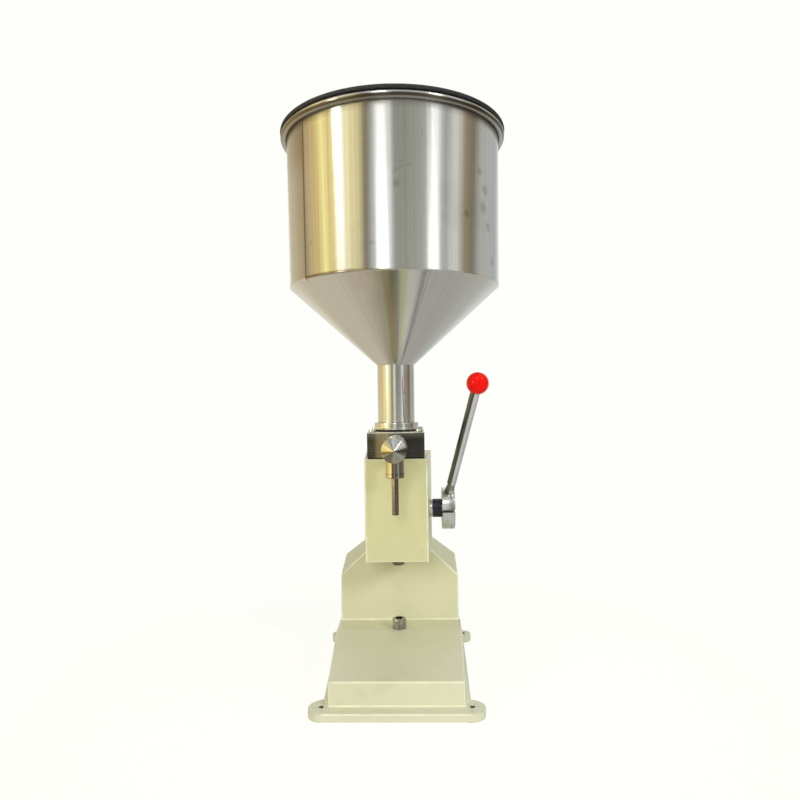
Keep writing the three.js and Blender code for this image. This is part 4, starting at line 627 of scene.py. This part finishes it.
top_face = between(tree, place_in(tree, "Normal")[3], 0.3, 0.6, 2, 3)
feed(tree, shader, {
    "Base Color": blended(tree, top_face, top_highlighted, (0.86, 0.84, 0.78)),
    "Roughness": maths(tree, "MULTIPLY_ADD", top_face, 0.22, ranged(tree, strokes, 0.20, 0.32)),
    "Normal": bumped(tree, strokes, 0.006, 0.6)})
finished("block", rounded_casting("valve_block", 8, 0.7, 2), "frame", ground_block, "block_steel",
         "valve_block")

# Inlet valve. A disc under its seat, on a stem that a guide with four windows
# holds, drawn up by a small spring under a nut in the hopper's neck.
valve_steel = turned_steel("valve_steel", (0.50, 0.50, 0.49), (0.68, 0.68, 0.67), 0.22, lines=900)
spring_steel, tree, shader = new_material("spring_wire", Metallic=1.0)
feed(tree, shader, {
    "Base Color": blended(tree, wear(tree, 500, 0.35, 0.65), (0.42, 0.42, 0.41), (0.6, 0.6, 0.59)),
    "Roughness": ranged(tree, wear(tree, 300, 0.3, 0.7), 0.22, 0.34)})


def coil(name, source, radius, wire, turns, lying_at=None):
    upright = lying_at is None
    low, high = ends(source, "z" if upright else "y")
    path = bpy.data.curves.new(name, "CURVE")
    path.dimensions, path.bevel_depth, path.bevel_resolution = "3D", wire * mm, 3
    path.use_fill_caps = True
    line = path.splines.new("POLY")
    steps_a_turn = 24
    count = turns * steps_a_turn
    line.points.add(count)
    for k in range(count + 1):
        angle = 2 * math.pi * k / steps_a_turn
        first, second = radius * math.cos(angle), radius * math.sin(angle)
        step = (low - high) / 2 + wire + (high - low - 2 * wire) * k / count
        spot = (first, second, step) if upright else (first, -step, second)
        line.points[k].co = (*(Vector(spot) * mm), 1)
    holder = bpy.data.objects.new(name, path)
    bpy.context.scene.collection.objects.link(holder)
    mesh = as_made(holder, name)
    middle = (low + high) / 2
    mesh.transform(Matrix.Translation(Vector((0, 0, middle) if upright else (0, middle, lying_at)) * mm))
    bm = reopened(mesh)
    bmesh.ops.remove_doubles(bm, verts=bm.verts, dist=0.001 * mm)
    bmesh.ops.recalc_face_normals(bm, faces=bm.faces)
    crease(bm, 50)
    return settled(bm, mesh)


traced("inlet_disc", "inlet_valve", "inlet", valve_steel, "steel")
traced("inlet_nut", "inlet_spring_nut", "inlet", valve_steel, "steel")
traced("inlet_spider", "inlet_guide", "frame", valve_steel, "steel")
wound = finished("inlet_coil", coil("inlet_coil", "inlet_spring", 5.4, 0.68, 5), "frame", spring_steel,
                 "steel", "inlet_spring")
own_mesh(wound)

# Hopper. Stainless sheet, rolled into a bowl, coned and welded to a drawn neck,
# with a bead rolled round the rim. It was brushed round and round by hand, and
# carries the fingermarks and small stains of use.
hopper_steel, tree, shader = new_material("brushed_hopper", Metallic=1.0)
smeared(tree, shader, "Z", 1.0)
marks = lathe_grain(tree, "Z", (0, 0, 0), 620)
grain = graded(tree, marks, 0.3, 0.7)
toned = blended(tree, grain, (0.67, 0.67, 0.66), (0.715, 0.715, 0.71))
smudged = blended(tree, wear(tree, 11, 0.56, 0.70, 5, offset=(2, 0, 4)), toned, (0.52, 0.52, 0.51), 0.5)
spotted = blended(tree, wear(tree, 46, 0.69, 0.75, 3, offset=(5, 2, 1)), smudged, (0.34, 0.33, 0.31), 0.5)
place, x, y, z = place_in(tree)
round_it = round_from_front(tree, x, y)
rubbing = node(tree, "ShaderNodeTexNoise", {"W": round_it, "Scale": 42, "Detail": 4, "Roughness": 0.7},
               noise_dimensions="1D").outputs["Fac"]
stains_shade_and_reflections = blended(tree, ranged(tree, rubbing, -0.4, 1.6), (0.58, 0.58, 0.57), spotted)
# Painted shade: the underside of the rim's bead is painted near black.
under_rim = between(tree, z, 0.7224, 0.7245, 0.7262, 0.7285)
stains_shade_and_reflections = blended(tree, under_rim, stains_shade_and_reflections, (0.10, 0.085, 0.06))
at_sides = ranged(tree, between(tree, maths(tree, "ABSOLUTE", round_it), 0.2, 1.0, 9, 10), 0.25, 0.7)
far_left = between(tree, round_it, -9, -8, -0.90, -0.70)
weld = between(tree, round_it, -0.862, -0.852, -0.842, -0.832)
joint = between(tree, round_it, -0.86, -0.84, -0.35, -0.1)
# Painted shade under the bead at the sides and down the upper left flank; dark lines along the weld seam and
# the bowl-to-cone joint.
for where, heights, colour, strength in (
        (at_sides, (0.712, 0.7218, 0.7228, 0.7232), (0.12, 0.10, 0.075), 1.0),
        (far_left, (0.650, 0.688, 2, 3), (0.30, 0.26, 0.19), 0.42),
        (weld, (0.520, 0.5265, 0.7222, 0.7226), (0.20, 0.15, 0.09), 0.75),
        (joint, (0.5245, 0.5262, 0.5275, 0.5295), (0.16, 0.11, 0.06), 0.8)):
    seam_and_shade_mask = maths(tree, "MULTIPLY", where, between(tree, z, *heights))
    stains_shade_and_reflections = blended(tree, seam_and_shade_mask, stains_shade_and_reflections, colour, strength)
# Painted reflection: the cone is darkened and lightened in bands round its front.
front_third = maths(tree, "MULTIPLY_ADD", round_it, 0.5 / math.radians(60), 0.5)
cone_painted_reflection = bands(tree, front_third, [
    (0.25, (1, 1, 1)), (0.333, (0.92, 0.91, 0.90)), (0.417, (0.90, 0.88, 0.86)), (0.455, (0.80, 0.78, 0.75)),
    (0.472, (0.60, 0.56, 0.49)), (0.505, (0.56, 0.52, 0.45)), (0.520, (0.72, 0.72, 0.67)),
    (0.546, (0.92, 0.93, 0.90)), (0.575, (1.12, 1.12, 1.12)), (0.617, (1.15, 1.15, 1.15)), (0.66, (1, 1, 1))])
cone_part = between(tree, z, 0.4216, 0.4225, 0.5240, 0.5256)
stains_shade_and_reflections = blended(tree, cone_part, stains_shade_and_reflections, cone_painted_reflection, kind="MULTIPLY")
bowl_radius = 0.144
fingermarks = ((50, 655, 7), (55, 634, 9), (53, 612, 10), (40, 598, 6), (58, 590, 7), (63, 548, 8))
for degrees, level, size in fingermarks:
    angle = math.radians(degrees)
    spot = (bowl_radius * math.sin(angle), -bowl_radius * math.cos(angle), level * mm)
    finger = graded(tree, vectors(tree, "DISTANCE", place, spot), size * mm, size * 0.3 * mm, 0, 0.5)
    stains_shade_and_reflections = blended(tree, finger, stains_shade_and_reflections, (0.30, 0.30, 0.27))
feed(tree, shader, {"Base Color": stains_shade_and_reflections, "Anisotropic": ranged(tree, cone_part, 1.0, 0.45),
                    "Roughness": ranged(tree, grain, 0.14, 0.19), "Normal": bumped(tree, marks, 0.0008, 0.4)})


def corner_rounds(points, steps=4):
    line = []
    for i, point in enumerate(points):
        here = Vector(point[:2])
        if len(point) < 3 or i in (0, len(points) - 1):
            line.append(here)
            continue
        back, on = Vector(points[i - 1][:2]) - here, Vector(points[i + 1][:2]) - here
        half = back.angle(on) / 2
        reach = min(point[2] / math.tan(half), 0.48 * back.length, 0.48 * on.length)
        centre = here + (back.normalized() + on.normalized()).normalized() * (reach / math.cos(half))
        start, end = here + back.normalized() * reach - centre, here + on.normalized() * reach - centre
        sweep = start.angle_signed(end)
        for k in range(steps + 1):
            angle = -sweep * k / steps
            line.append(centre + Vector((start.x * math.cos(angle) - start.y * math.sin(angle),
                                         start.x * math.sin(angle) + start.y * math.cos(angle))))
    return line


def turned(name, profile, facets=64, axis="Z", centre=(0, 0, 0), along=None):
    bm = bmesh.new()
    line = corner_rounds(profile)
    closed = (line[0] - line[-1]).length < 1e-6
    rows = [ring_of(bm, facets, *point) for point in (line[:-1] if closed else line)]
    skinned(bm, rows + rows[:1] if closed else rows, facets)
    if along is None:
        along = {"X": Vector((1, 0, 0)), "-Y": Vector((0, -1, 0)), "Z": Vector((0, 0, 1))}[axis]
    bm.transform(Matrix.Translation(Vector(centre) * mm) @ along.to_track_quat("Z", "Y").to_matrix().to_4x4())
    return settled(bm, bpy.data.meshes.new(name))


def lathed(name, line, facets, body, material, slot, *stands_for, **where):
    return finished(name, turned(name, line, facets, **where), body, material, slot, *stands_for)


def ring_line(inner, outer, soft, low, high):
    return [(inner, low), (outer, low, soft), (outer, high, soft), (inner, high), (inner, low)]


def arc(middle, height, radius, start, end, step):
    return [(middle + radius * math.cos(math.radians(a)), height + radius * math.sin(math.radians(a)))
            for a in range(start, end, step)]


neck, wall = 25.6, 1.5
foot = ends("hopper_neck")[0]
hopper_line = [(neck - wall, foot), (neck, foot, 0.3), (neck, 420.0), (neck + 0.5, 420.3, 0.4),
               (neck + 1.2, 421.2), (142.6, 525.6), (143.4, 526.0, 0.5), (143.5, 527.2), (143.25, 527.8),
               (145, 722.9), *arc(148.6, 727.5, 4.6, -140, 141, 14), (143.5, 727.5, 1), (141.7, 527.1, 2),
               (neck - wall, 421.4, 1), (neck - wall, foot)]
lathed("bowl", hopper_line, 160, "frame", hopper_steel, "hopper_steel", "hopper", "hopper_cone",
       "hopper_neck")
bright_ring = turned_steel("bright_ring", (0.56, 0.56, 0.55), (0.78, 0.78, 0.77), 0.18, lines=700, smear=0.7)
lathed("collar", ring_line(25.9, 30.65, 0.9, *ends("hopper_collar")), 96, "frame", bright_ring, "steel",
       "hopper_collar")
lathed("gasket", ring_line(24, 29.8, 0.4, *ends("hopper_gasket")), 72, "frame", rubber, "black_rubber",
       "hopper_gasket")

# Lid. A dished stainless sheet with a lip, in a black rubber edging that rests
# on the hopper's bead. A screw from below holds its turned black knob.
def raised(line, height):
    return [(radius, height + rise, *soft) for radius, rise, *soft in line]


seat = ends("lid_edging")[0]
lid_line = [(3.3, 9.2), (60, 8.3), (98, 7.4), (118, 5.2), (131, 3.4, 4), (139.6, 2.0, 0.8), (139.6, -8.0),
            (140.75, -8.0), (140.75, 2.0, 0.8), (150.9, 2.0), (150.9, 3.2), (140.9, 3.2, 1.5), (131, 4.7, 4),
            (118, 6.4), (98, 8.6), (60, 9.5), (3.3, 10.4), (3.3, 9.2)]
lathed("lid_sheet", raised(lid_line, seat), 160, "lid_assembly", hopper_steel, "hopper_steel", "lid")
edging = [(146.8, 0, 0.4), *arc(151, 2.6, 2.6, -90, 91, 15), (146.8, 5.2, 0.4), (146.8, 3.5), (151.25, 3.5),
          (151.25, 1.7), (146.8, 1.7), (146.8, 0, 0.4)]
lathed("lid_edge", raised(edging, seat), 160, "lid_assembly", rubber, "black_rubber", "lid_edging")
knob_black = moulded("knob_plastic", (0.016, 0.016, 0.018), (0.028, 0.028, 0.03), 90, 600, 0.02, 0.3,
                     rough=(60, 0.35, 0.65, 0.18, 0.30), IOR=1.5)
knob_line = [(3.3, 0), (11, 0, 1), (9.35, 6.8, 3), (8.5, 14.4, 6), (12.3, 19.1, 4), (17, 26, 5),
             (16.6, 33.5, 4), (8, 36, 8), (0, 36), (0, 20), (3.3, 20), (3.3, 0)]
lathed("knob", raised(knob_line, ends("lid_knob")[0]), 64, "lid_assembly", knob_black, "black_plastic",
       "lid_knob")
traced("lid_bolt", "lid_screw", "lid_assembly", screw_steel, "steel")

# Outlet. A polished barrel screwed into the block's front over a seal, with a
# sprung valve inside and a turned cap whose end is a shallow cone.
outlet_axis = 311
at_outlet = (0, 0, outlet_axis)
polished = turned_steel("polished_barrel", (0.74, 0.73, 0.71), (0.88, 0.87, 0.85), 0.32, axis="Y",
                        centre=at_outlet, lines=700, smear=0.5)
cap_steel = turned_steel("turned_cap", (0.50, 0.50, 0.49), (0.86, 0.86, 0.85), 0.15, axis="Y",
                         centre=at_outlet, lines=1500, smear=0.9, depth=0.008)


# Painted reflections: a metal's colour multiplied by bands of gold, dark and white round or across it.
def with_painted_reflections(metal, value, low, high, rows):
    tree, shader, steel = opened(metal)
    reflection_tints = bands(tree, graded(tree, value, low, high), rows, smooth=True)
    feed(tree, shader, {"Base Color": blended(tree, 1, steel, reflection_tints, kind="MULTIPLY")})


# The cap's cone carries painted reflections and painted highlights in bands round its axis.
tree = cap_steel.node_tree
_, x, _, z = place_in(tree)
round_cap = maths(tree, "ARCTAN2", maths(tree, "SUBTRACT", z, outlet_axis * mm), x)
with_painted_reflections(cap_steel, round_cap, -math.pi, math.pi, [
    (0.0, (0.75, 0.6, 0.35)), (0.03, (0.30, 0.22, 0.10)), (0.07, (0.85, 0.78, 0.6)),
    (0.11, (0.42, 0.34, 0.28)), (0.19, (0.48, 0.43, 0.37)), (0.26, (0.62, 0.6, 0.52)),
    (0.33, (0.50, 0.49, 0.44)), (0.40, (0.62, 0.61, 0.56)), (0.455, (0.24, 0.23, 0.2)),
    (0.51, (0.22, 0.21, 0.19)), (0.545, (0.62, 0.61, 0.58)), (0.60, (1.0, 1.0, 1.0)),
    (0.66, (0.55, 0.55, 0.52)), (0.70, (0.8, 0.8, 0.77)), (0.76, (1.0, 1.0, 1.0)),
    (0.80, (0.5, 0.49, 0.45)), (0.88, (0.75, 0.73, 0.64)), (0.93, (1.0, 0.97, 0.85)),
    (1.0, (1.0, 0.9, 0.6))])
traced("outlet_barrel", "outlet_body", "frame", polished, "chrome_steel")
traced("outlet_seal", "outlet_gasket", "frame", rubber, "black_rubber")
traced("outlet_poppet", "outlet_valve", "outlet", valve_steel, "steel")
wound = finished("outlet_coil", coil("outlet_coil", "outlet_spring", 6.2, 0.78, 6, outlet_axis), "frame",
                 spring_steel, "steel", "outlet_spring")
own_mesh(wound)
tip, back = [-y for y in ends("outlet_cap", "y")]
lathed("cap", [(0, back), (9.6, back, 0.4), (9.6, back + 4), (15.85, back + 4, 0.5), (15.85, tip - 12, 0.7),
               (1.2, tip - 1.0, 0.8), (0, tip - 0.8)], 96, "frame", cap_steel, "satin_steel", "outlet_cap",
       axis="-Y", centre=at_outlet)

# Nozzle. A short turned body, saddled under the barrel, with a ring nut that
# clamps the flange of the thin stainless filling tube.
nozzle_axis = (0, sum(ends("nozzle_tube", "y")) / 2, 0)
nozzle_steel = turned_steel("nozzle_steel", (0.52, 0.50, 0.46), (0.70, 0.68, 0.64), 0.11, centre=nozzle_axis,
                            lines=500, depth=0.002)
tube_steel = turned_steel("tube_steel", (0.34, 0.31, 0.28), (0.48, 0.45, 0.41), 0.10, centre=nozzle_axis,
                          lines=400, depth=0.002)
# The nozzle body and the filling tube carry painted reflections: gold, white and dark bands across them.
for metal, half, rows in (
        (nozzle_steel, 12.2, [
            (0.0, (0.8, 0.66, 0.5)), (0.14, (1.0, 0.9, 0.62)), (0.30, (1.0, 0.97, 0.8)),
            (0.38, (0.34, 0.26, 0.18)), (0.55, (0.40, 0.37, 0.34)), (0.80, (0.5, 0.47, 0.44)),
            (1.0, (0.6, 0.57, 0.54))]),
        (tube_steel, 4.5, [
            (0.0, (0.75, 0.6, 0.5)), (0.2, (1.0, 0.9, 0.82)), (0.42, (1.0, 1.0, 0.95)),
            (0.50, (0.32, 0.26, 0.24)), (0.85, (0.42, 0.35, 0.32)), (1.0, (0.7, 0.62, 0.56))])):
    with_painted_reflections(metal, place_in(metal.node_tree)[1], -half * mm, half * mm, rows)
traced("nozzle_shell", "nozzle_body", "frame", nozzle_steel, "chrome_steel")
foot, top = ends("nozzle_nut")
lathed("ring_nut", [(4.7, foot), (11.9, foot, 0.6), (12.05, foot + 1.4, 0.4), (12.05, foot + 5.9, 0.5),
                    (8.95, foot + 5.9), (8.95, top, 0.3), (4.7, top), (4.7, foot)],
       64, "frame", nozzle_steel, "steel", "nozzle_nut", centre=nozzle_axis)
foot, top = ends("nozzle_tube")
lathed("filling_tube", [(3.2, foot), (4.4, foot, 0.2), (4.4, top - 2), (8.55, top - 2), (8.55, top),
                        (3.2, top), (3.2, foot)],
       48, "frame", tube_steel, "chrome_steel", "nozzle_tube", centre=nozzle_axis)

# Drive inside the housing. The lever's shaft runs in two bushes and carries a
# keyed pinion in mesh with the rod's rack, held endways by a circlip.
shaft_y, shaft_z = -21, 225
on_shaft = {"axis": "X", "centre": (0, shaft_y, shaft_z)}
gear_steel = turned_steel("gear_steel", (0.24, 0.23, 0.22), (0.38, 0.37, 0.36), 0.3, lines=500, **on_shaft)
shaft_steel = turned_steel("shaft_steel", (0.52, 0.52, 0.51), (0.7, 0.7, 0.69), 0.18, lines=600, **on_shaft)
traced("shaft", "drive_shaft", "lever", shaft_steel, "chrome_steel")
traced("gear", "pinion", "lever", gear_steel, "dark_steel")
traced("key", "pinion_key", "lever", gear_steel, "dark_steel")
traced("circlip", "shaft_circlip", "lever", gear_steel, "dark_steel")
traced("left_bush", "shaft_bush_left", "frame", bronze, "bronze")
inside, outside = ends("shaft_bush_right", "x")
lathed("right_bush", [(9.3, inside), (10.95, inside), (10.95, outside - 3.2), (11.85, outside - 3.2, 0.3),
                      (11.85, outside, 0.4), (9.3, outside), (9.3, inside)],
       64, "frame", shaft_steel, "steel", "shaft_bush_right", **on_shaft)

# Lever hub. A blue-black spacer, then a thick steel disc with a clamp slit to
# the front, drawn tight on the shaft by a socket screw from below.
def cut_away(mesh, tool):
    blade = bpy.data.objects.new("blade", tool)
    bpy.context.scene.collection.objects.link(blade)
    left = shaped(mesh.name, mesh, "BOOLEAN", operation="DIFFERENCE", solver="EXACT", object=blade)
    bpy.data.objects.remove(blade)
    bm = reopened(left)
    crease(bm, 30)
    return settled(bm, left)


navy = moulded("spacer_navy", (0.0035, 0.009, 0.022), (0.007, 0.016, 0.036), 120, 700, 0.02, 0.3,
               rough=(80, 0.35, 0.65, 0.34, 0.48), IOR=1.5)
lathed("spacer", ring_line(9.3, 12.35, 0.5, *ends("shaft_collar", "x")), 64, "lever", navy, "navy_plastic",
       "shaft_collar", **on_shaft)
hub_steel = turned_steel("hub_steel", (0.52, 0.53, 0.53), (0.74, 0.75, 0.75), 0.2, lines=800, smear=0.6,
                         **on_shaft)
tree, shader, bright = opened(hub_steel)
_, _, y, z = place_in(tree)
# The clamp slit's faces are painted near black.
in_slit = between(tree, z, *((shaft_z + rise) * mm for rise in (-1.75, -1.6, 1.6, 1.75)))
to_front = between(tree, y, -1, -0.9, (shaft_y - 11) * mm, (shaft_y - 10) * mm)
dark_slit_faces = maths(tree, "MULTIPLY", in_slit, to_front)
feed(tree, shader, {"Base Color": blended(tree, dark_slit_faces, bright, (0.04, 0.04, 0.038))})
lever_lean, lever_out = math.radians(32), 0.1853
lever_way = Vector((lever_out, -math.sin(lever_lean), math.cos(lever_lean)))
lever_foot = Vector((65.1, shaft_y, shaft_z))
on_lever = {"centre": lever_foot, "along": lever_way.normalized()}
hub_in, hub_out = ends("lever_hub", "x")
hub_disc = turned("hub_disc", ring_line(9.3, 28, 0.9, hub_in, hub_out), 128, **on_shaft)
slit = turned("slit", [(0, -1.65), (60, -1.65), (60, 1.65), (0, 1.65)], 4, centre=(69, shaft_y - 42, shaft_z))
socket = turned("socket", [(0, 13.7), (6.25, 13.7), (6.25, 50), (0, 50)], 48, **on_lever)
bore_line = [(0, -50), (4.5, -50), (4.5, -13), (2.75, -13), (2.75, 6.3), (0, 6.3)]
bore = turned("bore", raised(bore_line, shaft_z), 40, centre=((hub_in + hub_out) / 2, shaft_y - 15.5, 0))
for tool in (slit, socket, bore):
    hub_disc = cut_away(hub_disc, tool)
finished("hub", hub_disc, "lever", hub_steel, "satin_steel", "lever_hub")
traced("hub_screw", "hub_clamp_screw", "lever", dark_screw, "dark_steel")

# Lever. A chromed rod with two spanner flats above the hub, leaning forward
# and out, and a glossy red ball with a flat neck screwed on its end.
chrome, tree, shader = new_material("lever_chrome", Metallic=1.0)
plated = blended(tree, wear(tree, 50, 0.45, 0.7), (0.74, 0.75, 0.77), (0.64, 0.65, 0.67))
# Painted reflection: the rod's left-facing side is painted near black and its spanner flats darker.
left_side = graded(tree, place_in(tree, "Normal")[1], -0.12, -0.30)
left_painted_dark = blended(tree, left_side, plated, (0.14, 0.15, 0.13))
from_foot = vectors(tree, "SUBTRACT", place_in(tree)[0], lever_foot * mm)
reach = vectors(tree, "DOT_PRODUCT", from_foot, lever_way.normalized())
flats = between(tree, reach, 0.0345, 0.0352, 0.0443, 0.045)
feed(tree, shader, {"Base Color": blended(tree, flats, left_painted_dark, (0.24, 0.25, 0.23), 0.8),
                    "Roughness": ranged(tree, wear(tree, 90, 0.4, 0.7), 0.07, 0.15),
                    "Normal": bumped(tree, wear(tree, 260, 0.3, 0.7, 2), 0.01, 0.3)})
ball_radius, ball_neck, half_flat = 13.4, 7.4, 4.9
ball_reach = 196.4 * lever_way.length
low_angle = -math.acos(ball_neck / ball_radius)
neck_reach = ball_reach + ball_radius * math.sin(low_angle)
bar = turned("lever_bar", [(0, 14), (6, 14, 0.3), (6, 34.9), (6, 35.1), (6, 44.4), (6, 44.6),
                           (6, neck_reach - 0.3, 0.3), (4, neck_reach - 0.3), (4, neck_reach + 11),
                           (0, neck_reach + 11)], 72)
bm = reopened(bar)
for vert in bm.verts:
    if 35 * mm < vert.co.z < 44.5 * mm:
        vert.co.x = max(-half_flat * mm, min(half_flat * mm, vert.co.x))
crease(bm)
leaned = Vector((0, 0, 1)).rotation_difference(lever_way).to_matrix().to_4x4()
bm.transform(Matrix.Translation(lever_foot * mm) @ leaned)
finished("lever_bar", settled(bm, bar), "lever", chrome, "chrome_steel", "lever_rod")
ball_red = moulded("ball_red", (0.80, 0.003, 0.002), (0.86, 0.006, 0.004), 60, 300, 0.002, 0.2,
                   rough=(90, 0.4, 0.7, 0.05, 0.08), IOR=1.5, Specular_IOR_Level=0.16)
ball_line = [(4.3, neck_reach), (7.0, neck_reach), (ball_neck, neck_reach + 0.15)]
for k in range(1, 30):
    angle = low_angle + (math.pi / 2 - low_angle) * k / 30
    ball_line.append((ball_radius * math.cos(angle), ball_reach + ball_radius * math.sin(angle)))
ball_line += [(0, ball_reach + ball_radius), (0, neck_reach + 11.2), (4.3, neck_reach + 11.2),
              (4.3, neck_reach)]
lathed("ball", ball_line, 64, "lever", ball_red, "red_plastic", "lever_ball", **on_lever)
